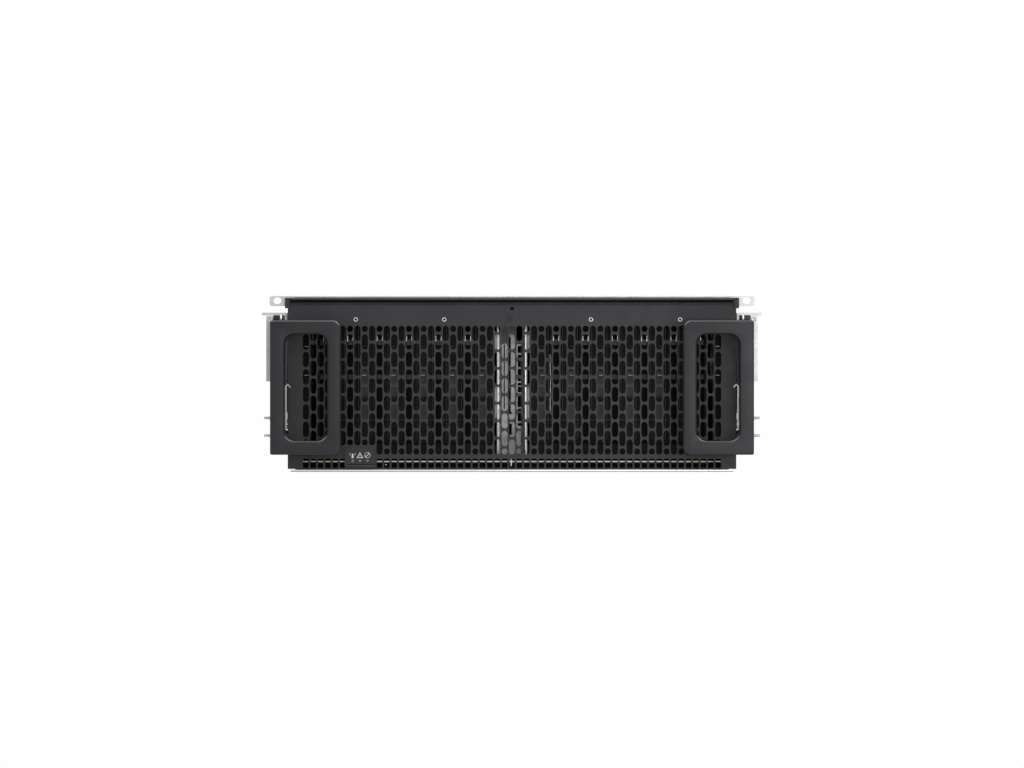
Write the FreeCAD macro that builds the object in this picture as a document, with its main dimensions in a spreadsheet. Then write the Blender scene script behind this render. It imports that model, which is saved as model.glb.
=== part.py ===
"""Storage array: a top-loading rack enclosure for sixty upright drives, four rack units high.

The chassis slides out of its rack on three-part telescopic rails. The steel cover is bolted to the
rack by its two ears, so it stays behind and the drives can be reached from above.

Frame, in millimetres: +X to the right seen from the front, +Y to the rear, +Z up. The origin is on
the rack's mounting plane, on the centre line, at the underside of the chassis.
"""
import FreeCAD, Part
import math
import os
import re

import Sketcher

COLUMNS = 6             # drive columns each side of the centre channel
ROWS = 5                # drive rows, front to back
SLOT_ROWS = 7           # full slots in one grille column
SLOT_SPAN = 28          # grille columns each side of the middle one
FANS = 4
FAN_BLADES = 7
PORTS = 6

SIZES = (
    # Drives and their bays
    ("drive_width", 26.1, "thickness of a drive, across the bay"),
    ("drive_deep", 101.6, "width of a drive, along the chassis"),
    ("drive_tall", 147.0, "length of a drive, standing on its plug"),
    ("column_pitch", 29.08, "drive to drive across the chassis"),
    ("carrier_play", 0.4, "air between a drive and its carrier"),
    ("carrier_rail", 4.0, "thickness of a carrier's two uprights"),
    ("carrier_gap", 0.7, "air between neighbouring carriers"),
    ("cap_thick", 6.1, "thickness of a carrier's top"),
    ("row_start", 12.0, "rack plane to the first carrier"),
    ("row_gap", 6.6, "free length between two rows"),
    ("beam_thick", 2.0, "cross beam thickness"),
    ("beam_tall", 16.0, "cross beam height"),
    ("socket_deep", 9.0, "socket strip, along the chassis"),
    # Steel chassis
    ("channel_wall", 13.9, "centre line to a centre wall"),
    ("cage_sheet", 1.0, "sheet of the drive cage"),
    ("bay_margin", 1.9, "cage wall to the first drive column"),
    ("side_duct", 22.5, "last drive column to the side wall"),
    ("wall_sheet", 1.2, "side wall sheet"),
    ("wall_flange", 14.0, "inward flange along a side wall's top"),
    ("tray_sheet", 1.5, "floor sheet"),
    ("lip_overhang", 3.5, "front lip of the tray past the side wall"),
    ("lip_deep", 20.0, "front lip, front to back"),
    ("board_stand", 7.0, "floor to baseboard"),
    ("board_thick", 2.4, "baseboard thickness"),
    ("post_size", 8.0, "square standoff under the baseboard"),
    ("drive_lift", 5.1, "baseboard to drive"),
    ("headroom", 1.7, "carrier top to the top flanges"),
    ("baffle_start", 38.0, "rack plane to the baffle in the channel"),
    ("baffle_deep", 30.0, "length of the baffle's return"),
    ("baffle_span", 17.4, "width of the baffle's face"),
    # Front panel and hood
    ("panel_lead", 5.0, "panel face ahead of the rack plane"),
    ("panel_sheet", 1.5, "panel sheet"),
    ("panel_lift", 2.8, "floor level to the panel's lower edge"),
    ("panel_overhang", 7.27, "panel past the side wall"),
    ("hood_tall", 6.9, "panel's upper edge to the hood's top"),
    ("hood_sheet", 1.2, "hood sheet"),
    ("hood_lap", 5.5, "hood lap behind the panel"),
    ("hood_deep", 24.0, "hood's top flange"),
    ("hood_nose", 3.0, "lip of the hood ahead of the panel"),
    ("hood_lip", 1.7, "height of that lip"),
    ("hood_overhang", 2.65, "hood end past the panel"),
    ("hood_end_wide", 4.5, "width of a hood end"),
    ("hood_end_tall", 10.4, "height of a hood end"),
    ("slot_pitch", 7.295, "spacing of the grille columns"),
    ("slot_width", 5.85, "grille slot width"),
    ("slot_long", 15.2, "grille slot length"),
    ("slot_gap", 2.15, "web between two slots"),
    ("short_hole", 6.3, "length of the hole that ends each column"),
    ("grille_lift", 17.0, "floor level to the grille's lower edge"),
    ("vent_lift", 3.9, "floor level to the bottom vents"),
    ("vent_tall", 9.0, "bottom vent height"),
    ("vent_width", 5.4, "bottom vent width"),
    ("vent_web", 0.9, "least web between a vent and the status window"),
    ("sight_hole", 1.8, "radius of the small hole in the header"),
    ("sight_drop", 3.7, "that hole below the panel's upper edge"),
    # Status panel
    ("status_place", 150.6, "centre line to the status panel, on the left"),
    ("status_width", 30.6, "bezel width"),
    ("status_lift", 3.4, "floor level to the bezel"),
    ("status_tall", 20.7, "bezel height"),
    ("status_thick", 2.0, "bezel ahead of the panel"),
    ("status_rim", 2.5, "bezel rim round its window"),
    ("status_play", 0.3, "air round the bezel's plug"),
    ("status_lip", 3.2, "height of the bezel's lower lip"),
    # Handles and release triggers
    ("handle_stand", 36.0, "handle ahead of the panel"),
    ("handle_lift", 17.1, "floor level to the handle"),
    ("handle_drop", 22.5, "wall top to handle top"),
    ("handle_corner", 8.5, "corner radius on the inner side"),
    ("handle_edge", 2.0, "corner radius on the outer side"),
    ("handle_bevel", 1.4, "bevel round the front edges"),
    ("bar_thick", 12.0, "grip bar, front to back"),
    ("bar_width", 13.3, "grip bar width"),
    ("arm_tall", 13.7, "height of the upper and lower arm"),
    ("post_width", 14.1, "width of the outer post"),
    ("grip_width", 42.4, "width of the hand opening"),
    ("grip_corner", 10.0, "corner radius of the hand opening"),
    ("trigger_sheet", 1.5, "trigger sheet"),
    ("trigger_clearance", 0.35, "panel edge to trigger"),
    ("trigger_play", 0.6, "trigger to handle post"),
    ("trigger_inset", 10.0, "handle front to trigger"),
    ("trigger_deep", 8.0, "trigger arm, front to back"),
    ("trigger_top", 84.0, "top of the trigger arm"),
    ("trigger_pivot", 47.0, "height of the trigger's pivot"),
    ("trigger_axis", 9.0, "panel face to pivot"),
    ("tail_half", 5.0, "half the height of the trigger's tail"),
    ("tail_reach", 8.0, "rack plane to the tail's end"),
    ("hook_reach", 4.0, "finger hook towards the middle"),
    ("hook_rise", 2.6, "finger hook above the arm"),
    ("pin_radius", 1.5, "trigger pin"),
    ("pin_play", 0.05, "air round the trigger pin"),
    # Rails
    ("rail_start", 14.0, "rack plane to the slide members"),
    ("rail_long", 706.0, "length of the slide members"),
    ("rail_centre", 80.0, "height of the rail's centre line"),
    ("rail_half", 22.0, "half the inner member's height"),
    ("rail_sheet", 1.5, "slide member sheet"),
    ("rail_reach", 4.5, "inner member, web to edge"),
    ("rail_play", 0.4, "air between slide members"),
    ("bracket_sheet", 2.0, "rail bracket sheet"),
    ("bracket_gap", 2.5, "rack plane to bracket: the rack post's sheet"),
    ("bracket_deep", 126.0, "front bracket, front to back"),
    ("bracket_foot", 29.0, "floor level to the bracket's foot"),
    ("bracket_ear_low", 89.5, "floor level to the wide ear"),
    ("bracket_ear_top", 154.6, "top of the wide ear"),
    ("bracket_ear_wide", 20.5, "width of the wide ear"),
    ("bracket_foot_in", 4.2, "ear's inner edge to the foot"),
    ("bracket_foot_wide", 12.0, "width of the foot"),
    ("bracket_top_wide", 24.7, "width of the top flange"),
    ("bracket_top_deep", 57.0, "top flange, front to back"),
    ("bracket_top_lift", 0.9, "ear top to the top flange"),
    ("bracket_top_thick", 2.3, "top flange thickness"),
    ("bracket_top_front", 0.3, "rack plane to the top flange"),
    ("tab_place", 5.2, "ear's inner edge to the hanging tab"),
    ("tab_wide", 1.7, "hanging tab width"),
    ("tab_tall", 4.9, "hanging tab height"),
    ("trigger_window", 62.0, "side plate starts above the trigger's tail"),
    ("window_deep", 34.0, "rack plane to the end of that window"),
    ("catch_play", 0.5, "catch below the trigger's tail"),
    ("fin_top", 57.0, "top of the bracket's outer fin"),
    ("fin_deep", 25.0, "outer fin, front to back"),
    ("rack_hole_offset", 17.57, "side wall to the line of rack holes"),
    ("rack_hole_low", 49.0, "lower rack hole in the bracket's foot"),
    ("rack_hole_pitch", 15.875, "rack hole to rack hole"),
    ("rack_hole_radius", 3.2, "bracket hole"),
    ("rear_bracket_deep", 170.0, "rear bracket along the rail"),
    ("rear_bracket_half", 24.0, "half the rear bracket's height"),
    # Cover
    ("cover_play", 0.3, "air under the cover"),
    ("cover_sheet", 1.5, "cover sheet"),
    ("skirt_play", 1.0, "air beside the cover's skirts"),
    ("skirt_tall", 12.0, "skirt height"),
    ("cover_short", 38.0, "cover's rear edge ahead of the chassis rear"),
    ("ear_tall", 10.0, "cover ear height"),
    ("ear_margin", 7.85, "rack holes to the ear's outer edge"),
    ("ear_corner", 2.6, "ear corner radius"),
    ("ear_slot_half", 3.25, "half the ear slot's width"),
    ("ear_slot_long", 7.6, "ear slot length"),
    ("ear_slot_drop", 4.6, "cover top to the ear slot"),
    # Rear bay and its modules
    ("plenum", 43.0, "last drive row to the rear bay"),
    ("module_deep", 198.0, "rear bay length"),
    ("rear_sheet", 1.5, "rear frame sheet"),
    ("module_lift", 3.0, "floor sheet to the lower modules"),
    ("module_tall", 80.0, "height of the lower modules"),
    ("module_play", 0.3, "air round a module"),
    ("module_face", 2.0, "thickness of a module's face"),
    ("module_lap", 1.0, "a module's face past its opening"),
    ("module_sheet", 1.2, "shelves and module walls"),
    ("supply_width", 75.0, "power supply width"),
    ("supply_edge", 2.5, "power supply to side wall"),
    ("supply_short", 12.0, "power supply ends before the rear bay's front"),
    ("inlet_wide", 28.0, "mains inlet width"),
    ("inlet_tall", 20.5, "mains inlet height"),
    ("inlet_deep", 14.0, "mains inlet depth"),
    ("grab_wide", 8.0, "supply handle, across"),
    ("grab_reach", 22.0, "supply handle, front to back"),
    ("grab_tall", 52.0, "supply handle height"),
    ("grab_bar", 6.0, "supply handle bar"),
    ("latch_wide", 10.0, "supply latch width"),
    ("latch_tall", 14.0, "supply latch height"),
    ("latch_reach", 9.0, "supply latch, front to back"),
    ("latch_play", 0.1, "air between a supply's face and its latch"),
    ("vent_pocket", 3.0, "depth of a module's vents"),
    ("port_wide", 17.0, "cable port width"),
    ("port_tall", 10.0, "cable port height"),
    ("port_deep", 3.0, "cable port, face to its closed plug seat"),
    ("port_pitch", 24.0, "cable port to cable port"),
    ("fan_side", 2.0, "fan module to its share of the bay"),
    ("fan_top", 2.5, "fan module to the top flanges"),
    ("fan_deep", 78.0, "fan module length"),
    ("fan_bore", 37.5, "fan opening radius"),
    ("fan_tip", 34.0, "blade tip radius"),
    ("fan_hub", 15.0, "hub radius"),
    ("fan_hub_long", 26.0, "hub length"),
    ("fan_seat", 5.0, "bearing seat in the hub, width and depth"),
    ("fan_chord", 17.0, "blade width across the air stream"),
    ("fan_blade", 2.0, "blade thickness"),
    ("spider_place", 24.0, "rear face to the motor spider"),
    ("spider_thick", 4.0, "motor spider, along the air stream"),
    ("spider_arm", 5.0, "motor spider arm width"),
    ("fan_play", 0.3, "hub to spider"),
    ("guard_bar", 2.0, "finger guard bar"),
    ("guard_pitch", 9.4, "finger guard bar to bar"),
    ("pull_wide", 24.0, "fan module's pull tab width"),
    ("pull_reach", 11.0, "fan module's pull tab length"),
    ("pull_thick", 1.8, "fan module's pull tab thickness"),
)

doc = FreeCAD.newDocument("storage_array")
sheet = doc.addObject("Spreadsheet::Sheet", "sizes")
for line, (alias, size, note) in enumerate(SIZES, start=1):
    sheet.set(f"A{line}", alias)
    sheet.set(f"B{line}", str(size))
    sheet.set(f"C{line}", note)
    sheet.setAlias(f"B{line}", alias)
doc.recompute()

ALIASES = {alias for alias, _, _ in SIZES}
parts = []

# Places that several pieces share, each an expression of the sheet's cells.
# Across the chassis, from the centre line outwards
BAY_START = "(channel_wall + cage_sheet + bay_margin)"
BAY_END_X = f"({BAY_START} + {COLUMNS} * column_pitch)"
INNER = f"({BAY_END_X} + side_duct)"
SIDE = f"({INNER} + wall_sheet)"
PANEL_EDGE = f"({SIDE} + panel_overhang)"
HOOD_EDGE = f"({PANEL_EDGE} + hood_overhang)"
TRIGGER_IN = f"({PANEL_EDGE} + trigger_clearance)"
TRIGGER_OUT = f"({TRIGGER_IN} + trigger_sheet)"
GRIP_OUT = f"({TRIGGER_OUT} + trigger_play)"
GRIP_IN = f"({GRIP_OUT} - grip_width)"
HANDLE_IN = f"({GRIP_IN} - bar_width)"
HANDLE_OUT = f"({GRIP_OUT} + post_width)"
RACK_HOLE = f"({SIDE} + rack_hole_offset)"
MID_WEB = f"({SIDE} + rail_reach + rail_play)"
OUTER_WEB = f"({MID_WEB} + rail_sheet + rail_play)"
BRACKET = f"({OUTER_WEB} + rail_sheet)"
COVER_SIDE = f"({SIDE} + skirt_play + cover_sheet)"
SUPPLY_OUT = f"({INNER} - supply_edge)"
SUPPLY_IN = f"({SUPPLY_OUT} - supply_width)"
MODULE_WALL = f"({SUPPLY_IN} - 2 * module_play - module_sheet)"
IO_HALF = f"({MODULE_WALL} - 2 * module_play)"
FAN_PITCH = f"(2 * {INNER} / {FANS})"
FAN_HALF = f"({FAN_PITCH} / 2 - fan_side)"
# Along the chassis, from the handles to the rear
HANDLE_FRONT = "(-panel_lead - handle_stand)"
GRIP_BACK = f"({HANDLE_FRONT} + bar_thick)"
HOOD_FRONT = "(-panel_lead - hood_nose)"
PANEL_FRONT = "(-panel_lead)"
PANEL_BACK = "(panel_sheet - panel_lead)"
WALL_FRONT = f"({PANEL_BACK} + hood_sheet)"
CARRIER_DEEP = "(2 * carrier_rail + 2 * carrier_play + drive_deep)"
ROW_PITCH = f"({CARRIER_DEEP} + row_gap)"
REAR_START = f"(row_start + {ROWS} * {ROW_PITCH} + plenum)"
REAR = f"({REAR_START} + module_deep)"
RAIL_END = "(rail_start + rail_long)"
# Upwards from the floor
BOARD_LOW = "(tray_sheet + board_stand)"
BOARD_TOP = f"({BOARD_LOW} + board_thick)"
DRIVE_LOW = f"({BOARD_TOP} + drive_lift)"
DRIVE_TOP = f"({DRIVE_LOW} + drive_tall)"
CAP_LOW = f"({DRIVE_TOP} + carrier_play)"
CAP_TOP = f"({CAP_LOW} + cap_thick)"
CEILING = f"({CAP_TOP} + headroom)"
WALL_TOP = f"({CEILING} + wall_sheet)"
PANEL_TOP = f"({WALL_TOP} - hood_tall)"
HANDLE_TOP = f"({WALL_TOP} - handle_drop)"
GRIP_LOW = "(handle_lift + arm_tall)"
GRIP_TOP = f"({HANDLE_TOP} - arm_tall)"
COVER_LOW = f"({WALL_TOP} + cover_play)"
COVER_TOP = f"({COVER_LOW} + cover_sheet)"
MODULE_LOW = "(tray_sheet + module_lift)"
MODULE_TOP = f"({MODULE_LOW} + module_tall)"
SHELF_LOW = f"({MODULE_TOP} + module_play)"
SHELF_TOP = f"({SHELF_LOW} + module_sheet)"
IO_TALL = "((module_tall - module_sheet - 2 * module_play) / 2)"
FAN_LOW = f"({SHELF_TOP} + fan_side)"
FAN_TOP = f"({CEILING} - fan_top)"
FAN_MIDDLE = f"(({FAN_LOW} + {FAN_TOP}) / 2)"


def cells(text):
    """Point every size named in an expression at its cell of the sheet."""
    return re.sub(r"[a-z_]+", lambda word: f"sizes.{word[0]}" if word[0] in ALIASES else word[0], str(text))


def number(text):
    """The value that an expression has now."""
    return float(sheet.evalExpression(cells(text)))


def keep(piece, label):
    """Name a finished sub-part and list it for writing."""
    piece.Label = label
    parts.append(piece)
    return piece


def block(name, x, y, z):
    """A box given by its two ends along each axis."""
    box = doc.addObject("Part::Box", name)
    for size, axis, (low, high) in zip(("Length", "Width", "Height"), "xyz", (x, y, z)):
        box.setExpression(size, cells(f"({high}) - ({low})"))
        box.setExpression(f"Placement.Base.{axis}", cells(low))
    return box


def rod(name, start, axis, radius, length):
    """A cylinder from a start point along +X or -Y."""
    cylinder = doc.addObject("Part::Cylinder", name)
    cylinder.setExpression("Radius", cells(radius))
    cylinder.setExpression("Height", cells(length))
    turn = {"+X": (FreeCAD.Vector(0, 1, 0), 90), "-Y": (FreeCAD.Vector(1, 0, 0), 90)}[axis]
    cylinder.Placement.Rotation = FreeCAD.Rotation(*turn)
    for letter, place in zip("xyz", start):
        cylinder.setExpression(f"Placement.Base.{letter}", cells(place))
    return cylinder


def group(label, pieces):
    """Separate solids that share one node."""
    together = doc.addObject("Part::Compound", label)
    together.Links = pieces
    return keep(together, label)


def fused(name, pieces):
    """One solid from pieces that touch."""
    union = doc.addObject("Part::MultiFuse", name)
    union.Shapes = pieces
    union.Refine = True
    return union


def mirrored(source, name):
    """The same piece on the other side of the centre line."""
    mirror = doc.addObject("Part::Mirroring", name)
    mirror.Source = source
    mirror.Normal = FreeCAD.Vector(1, 0, 0)
    return mirror


def both_sides(right_piece, name):
    """Keep a right-hand piece and its left-hand twin."""
    keep(right_piece, f"right_{name}")
    keep(mirrored(right_piece, f"left_{name}"), f"left_{name}")


def new_body(name):
    """An empty PartDesign body."""
    return doc.addObject("PartDesign::Body", name)


def new_sketch(body, plane, start, centre=None):
    """A sketch parallel to one of the body's origin planes, at a place along that plane's axis."""
    sketch = body.newObject("Sketcher::SketchObject", f"{body.Name}_sketch")
    support = next(item for item in body.Origin.OriginFeatures if item.Role == f"{plane}_Plane")
    sketch.AttachmentSupport = [(support, "")]
    sketch.MapMode = "FlatFace"
    away = f"-({start})" if plane == "XZ" else start
    sketch.setExpression("AttachmentOffset.Base.z", cells(away))
    if centre:
        sketch.setExpression("AttachmentOffset.Base.x", cells(centre[0]))
        sketch.setExpression("AttachmentOffset.Base.y", cells(centre[1]))
    return sketch


def pin_point(sketch, line, end, place):
    """Hold one point of a sketch at a place given by two expressions."""
    for kind, text in zip(("DistanceX", "DistanceY"), place):
        held = sketch.addConstraint(Sketcher.Constraint(kind, -1, 1, line, end, number(text)))
        sketch.setExpression(f"Constraints[{held}]", cells(text))


def draw_loop(sketch, points):
    """A closed outline of straight runs through the given corners."""
    first = sketch.GeometryCount
    count = len(points)
    places = [FreeCAD.Vector(number(u), number(v), 0) for u, v in points]
    for index in range(count):
        sketch.addGeometry(Part.LineSegment(places[index], places[(index + 1) % count]), False)
    for index in range(count):
        following = first + (index + 1) % count
        sketch.addConstraint(Sketcher.Constraint("Coincident", first + index, 2, following, 1))
    for index, point in enumerate(points):
        pin_point(sketch, first + index, 1, point)


def draw_circle(sketch, centre, radius):
    """A circle held by its centre and radius."""
    place = FreeCAD.Vector(number(centre[0]), number(centre[1]), 0)
    line = sketch.addGeometry(Part.Circle(place, FreeCAD.Vector(0, 0, 1), number(radius)), False)
    pin_point(sketch, line, 3, centre)
    held = sketch.addConstraint(Sketcher.Constraint("Radius", line, number(radius)))
    sketch.setExpression(f"Constraints[{held}]", cells(radius))


def rectangle(u, v):
    """Four corners from two ends along each direction."""
    return [(u[0], v[0]), (u[1], v[0]), (u[1], v[1]), (u[0], v[1])]


def pad(body, plane, start, end, loops, centre=None):
    """Add material between two places along the plane's axis."""
    sketch = new_sketch(body, plane, start, centre)
    for loop in loops:
        draw_loop(sketch, loop)
    return extrude(body, "PartDesign::Pad", sketch, plane, f"({end}) - ({start})")


def pocket(body, plane, start, end, loops=(), circles=()):
    """Remove material between two places along the plane's axis."""
    sketch = new_sketch(body, plane, start)
    for loop in loops:
        draw_loop(sketch, loop)
    for centre, radius in circles:
        draw_circle(sketch, centre, radius)
    return extrude(body, "PartDesign::Pocket", sketch, plane, f"({end}) - ({start})")


def extrude(body, kind, sketch, plane, length):
    """Pad or pocket a sketch in the direction of its axis."""
    feature = body.newObject(kind, f"{body.Name}_{kind[12:].lower()}")
    feature.Profile = sketch
    feature.setExpression("Length", cells(length))
    feature.Reversed = (plane == "XZ") == (kind == "PartDesign::Pad")
    doc.recompute()
    return feature


def edges_along_y(feature, corners):
    """Names of the edges that run front to back through the given corners."""
    wanted = [(number(x), number(z)) for x, z in corners]
    names = []
    for index, edge in enumerate(feature.Shape.Edges, start=1):
        ends = edge.Vertexes
        if len(ends) == 2 and abs(ends[0].Y - ends[1].Y) > 1.0:
            middle = (ends[0].Point + ends[1].Point) * 0.5
            if any(math.dist((middle.x, middle.z), corner) < 0.01 for corner in wanted):
                names.append(f"Edge{index}")
    return names


def soften(body, kind, feature, names, size_name, size):
    """Fillet or chamfer the named edges."""
    softened = body.newObject(kind, f"{body.Name}_{kind[12:].lower()}")
    softened.Base = (feature, names)
    softened.setExpression(size_name, cells(size))
    doc.recompute()
    return softened


def round_corners(body, feature, corners, radius):
    """Round the front-to-back edges at the given corners."""
    return soften(body, "PartDesign::Fillet", feature, edges_along_y(feature, corners), "Radius", radius)


def perforated(label, outline, holes, front, thickness):
    """A flat upright sheet with many straight-sided holes."""
    def ring(corners):
        loop = [FreeCAD.Vector(x, number(front), z) for x, z in corners]
        return Part.makePolygon(loop + loop[:1])
    face = doc.addObject("Part::Feature", f"{label}_face")
    face.Shape = Part.Face([ring(outline)] + [ring(reversed(hole)) for hole in holes])
    solid = doc.addObject("Part::Extrusion", label)
    solid.Base = face
    solid.DirMode = "Custom"
    solid.Dir = FreeCAD.Vector(0, 1, 0)
    solid.setExpression("LengthFwd", cells(thickness))
    solid.Solid = True
    return keep(solid, label)


def corners_of(x_low, x_high, z_low, z_high):
    """A rectangle's corners as numbers."""
    return [(x_low, z_low), (x_high, z_low), (x_high, z_high), (x_low, z_high)]


# Chassis: floor, walls and the drive cage
def base_tray():
    """Floor sheet with its front lip and the standoffs that carry the baseboard."""
    floor = block("floor", (f"-{SIDE}", SIDE), (PANEL_BACK, REAR), ("0", "tray_sheet"))
    lip_half = f"({SIDE} + lip_overhang)"
    lip = block("floor_lip", (f"-{lip_half}", lip_half), (PANEL_BACK, "lip_deep"), ("0", "tray_sheet"))
    posts = []
    for column in (-1, 0, 1):
        for row in range(4):
            x = f"{column} * ({BAY_END_X} - post_size)"
            y = f"row_start + {CARRIER_DEEP} / 2 + {row} * {ROWS - 1} * {ROW_PITCH} / 3"
            posts.append(block(f"standoff_{column + 1}_{row}", (f"{x} - post_size / 2", f"{x} + post_size / 2"),
                               (f"{y} - post_size / 2", f"{y} + post_size / 2"), ("tray_sheet", BOARD_LOW)))
    keep(fused("tray", [floor, lip] + posts), "base_tray")


def side_walls():
    """Side sheets, each folded inwards along its top and outwards behind the front panel."""
    wall = new_body("side_wall")
    top_in = f"({INNER} - wall_flange)"
    profile = [(INNER, "tray_sheet"), (SIDE, "tray_sheet"), (SIDE, WALL_TOP),
               (top_in, WALL_TOP), (top_in, CEILING), (INNER, CEILING)]
    pad(wall, "XZ", f"hood_deep + {WALL_FRONT}", REAR, [profile])
    under_hood = [rectangle((INNER, SIDE), ("tray_sheet", CEILING))]
    pad(wall, "XZ", WALL_FRONT, f"hood_deep + {WALL_FRONT}", under_hood)
    front_fold = [rectangle((INNER, PANEL_EDGE), ("panel_lift", "rail_centre"))]
    pad(wall, "XZ", PANEL_BACK, f"{PANEL_BACK} + hood_sheet", front_fold)
    both_sides(wall, "side_wall")


def drive_cage():
    """Baseboard, socket strips, cage walls, cross beams and the baffle in the centre channel."""
    half = f"({BAY_END_X} + cage_sheet)"
    board_y = ("row_start / 2", f"{REAR_START} - plenum / 2")
    board = block("board", (f"-{half}", half), board_y, (BOARD_LOW, BOARD_TOP))
    keep(board, "baseboard")

    wall_y = ("row_start / 2", f"{REAR_START} - plenum")
    walls = []
    for name, low in (("centre_wall", "channel_wall"), ("cage_wall", f"{BAY_END_X}")):
        right = block(name, (low, f"{low} + cage_sheet"), wall_y, (BOARD_TOP, CAP_TOP))
        walls += [right, mirrored(right, f"{name}_left")]
    group("cage_walls", walls)

    span = ("channel_wall + cage_sheet", BAY_END_X)
    beams = []
    for row in range(ROWS + 1):
        back = f"(row_start + {row} * {ROW_PITCH} - (row_gap - beam_thick) / 2)"
        beam_y = (f"{back} - beam_thick", back)
        for name, low in (("upper", f"{CAP_TOP} - beam_tall"), ("lower", BOARD_TOP)):
            right = block(f"{name}_beam_{row}", span, beam_y, (low, f"{low} + beam_tall"))
            beams += [right, mirrored(right, f"{name}_beam_{row}_left")]
    group("cross_beams", beams)

    strips = []
    for row in range(ROWS):
        middle = f"(row_start + {row} * {ROW_PITCH} + {CARRIER_DEEP} / 2)"
        right = block(f"sockets_{row}", (BAY_START, BAY_END_X),
                      (f"{middle} - socket_deep / 2", f"{middle} + socket_deep / 2"), (BOARD_TOP, DRIVE_LOW))
        strips += [right, mirrored(right, f"sockets_{row}_left")]
    group("drive_sockets", strips)

    baffle = new_body("baffle")
    face_end = "(baffle_span - channel_wall)"
    fold_in = f"({face_end} - cage_sheet)"
    fold = [("-channel_wall", "baffle_start"), (face_end, "baffle_start"),
            (face_end, "baffle_start + baffle_deep"), (fold_in, "baffle_start + baffle_deep"),
            (fold_in, "baffle_start + cage_sheet"), ("-channel_wall", "baffle_start + cage_sheet")]
    pad(baffle, "XY", BOARD_TOP, GRIP_TOP, [fold])
    keep(baffle, "centre_baffle")


def drives_and_carriers():
    """Five rows of twelve upright drives, each in a carrier that hooks over its two ends and top."""
    drive = new_body("drive")
    drive_front = "(carrier_rail + carrier_play)"
    side = rectangle((drive_front, f"{drive_front} + drive_deep"), (DRIVE_LOW, DRIVE_TOP))
    pad(drive, "YZ", "-drive_width / 2", "drive_width / 2", [side])
    carrier = new_body("carrier")
    arch = [("0", BOARD_TOP), ("carrier_rail", BOARD_TOP), ("carrier_rail", CAP_LOW),
            (f"{CARRIER_DEEP} - carrier_rail", CAP_LOW), (f"{CARRIER_DEEP} - carrier_rail", BOARD_TOP),
            (CARRIER_DEEP, BOARD_TOP), (CARRIER_DEEP, CAP_TOP), ("0", CAP_TOP)]
    half = "(column_pitch / 2 - carrier_gap / 2)"
    pad(carrier, "YZ", f"-{half}", half, [arch])
    for row in range(ROWS):
        y = f"row_start + {row} * {ROW_PITCH}"
        for source, name in ((drive, "drive"), (carrier, "carrier")):
            copies = []
            for place in range(2 * COLUMNS):
                steps = place % COLUMNS + 0.5
                x = f"{-1 if place < COLUMNS else 1} * ({BAY_START} + {steps} * column_pitch)"
                copies.append(copy_at(source, f"{name}_{row + 1}_{place + 1}", x, y))
            group(f"{name}_row_{row + 1}", copies)


def copy_at(source, name, x, y):
    """The same piece again, moved across and along the chassis."""
    link = doc.addObject("App::Link", name)
    link.LinkedObject = source
    link.setExpression("Placement.Base.x", cells(x))
    link.setExpression("Placement.Base.y", cells(y))
    return link


# Front: perforated panel, hood, status panel and handles
def grille_holes():
    """Staggered slots, the short holes that end each column, and the row of bottom vents."""
    pitch = number("slot_pitch")
    step = number("slot_long + slot_gap")
    low = number("grille_lift")
    short = number("short_hole")
    gap = number("slot_gap")
    half_slot = number("slot_width") / 2
    status_low, status_high = (number(f"-status_place {sign} status_width / 2") for sign in "-+")
    status_top = number("status_lift + status_tall")
    vent_half = number("vent_width") / 2
    vent_low, vent_high = number("vent_lift"), number("vent_lift + vent_tall")
    window_rim = number("status_rim - vent_web")
    holes = []
    for column in range(-SLOT_SPAN, SLOT_SPAN + 1):
        x = column * pitch
        if column % 2:
            spans = [(low, low + short)]
            spans += [(low + short + gap + row * step, low + short + row * step + step)
                      for row in range(SLOT_ROWS)]
        else:
            spans = [(low + row * step, low + row * step + step - gap) for row in range(SLOT_ROWS)]
            spans.append((low + SLOT_ROWS * step, low + SLOT_ROWS * step + short))
        over_status = status_low - half_slot < x < status_high + half_slot
        for bottom, top in spans:
            if over_status:
                bottom = max(bottom, status_top + gap)
            if top - bottom > short * 0.9:
                holes.append(corners_of(x - half_slot, x + half_slot, bottom, top))
        if x + vent_half < status_low + window_rim or x - vent_half > status_high - window_rim:
            holes.append(corners_of(x - vent_half, x + vent_half, vent_low, vent_high))
    return holes


def front_grille():
    """The perforated front sheet, with a window for the status panel and a sight hole in its header."""
    edge = number(PANEL_EDGE)
    outline = corners_of(-edge, edge, number("panel_lift"), number(PANEL_TOP))
    window = corners_of(*(number(text) for text in (
        "-status_place - status_width / 2 + status_rim", "-status_place + status_width / 2 - status_rim",
        "status_lift + status_lip + status_rim", "status_lift + status_tall - status_rim")))
    sight_z = number(f"{PANEL_TOP} - sight_drop")
    radius = number("sight_hole")
    sight = [(radius * math.cos(turn), sight_z + radius * math.sin(turn))
             for turn in (math.radians(60 * corner) for corner in range(6))]
    perforated("front_grille", outline, grille_holes() + [window, sight], PANEL_FRONT, "panel_sheet")


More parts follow.
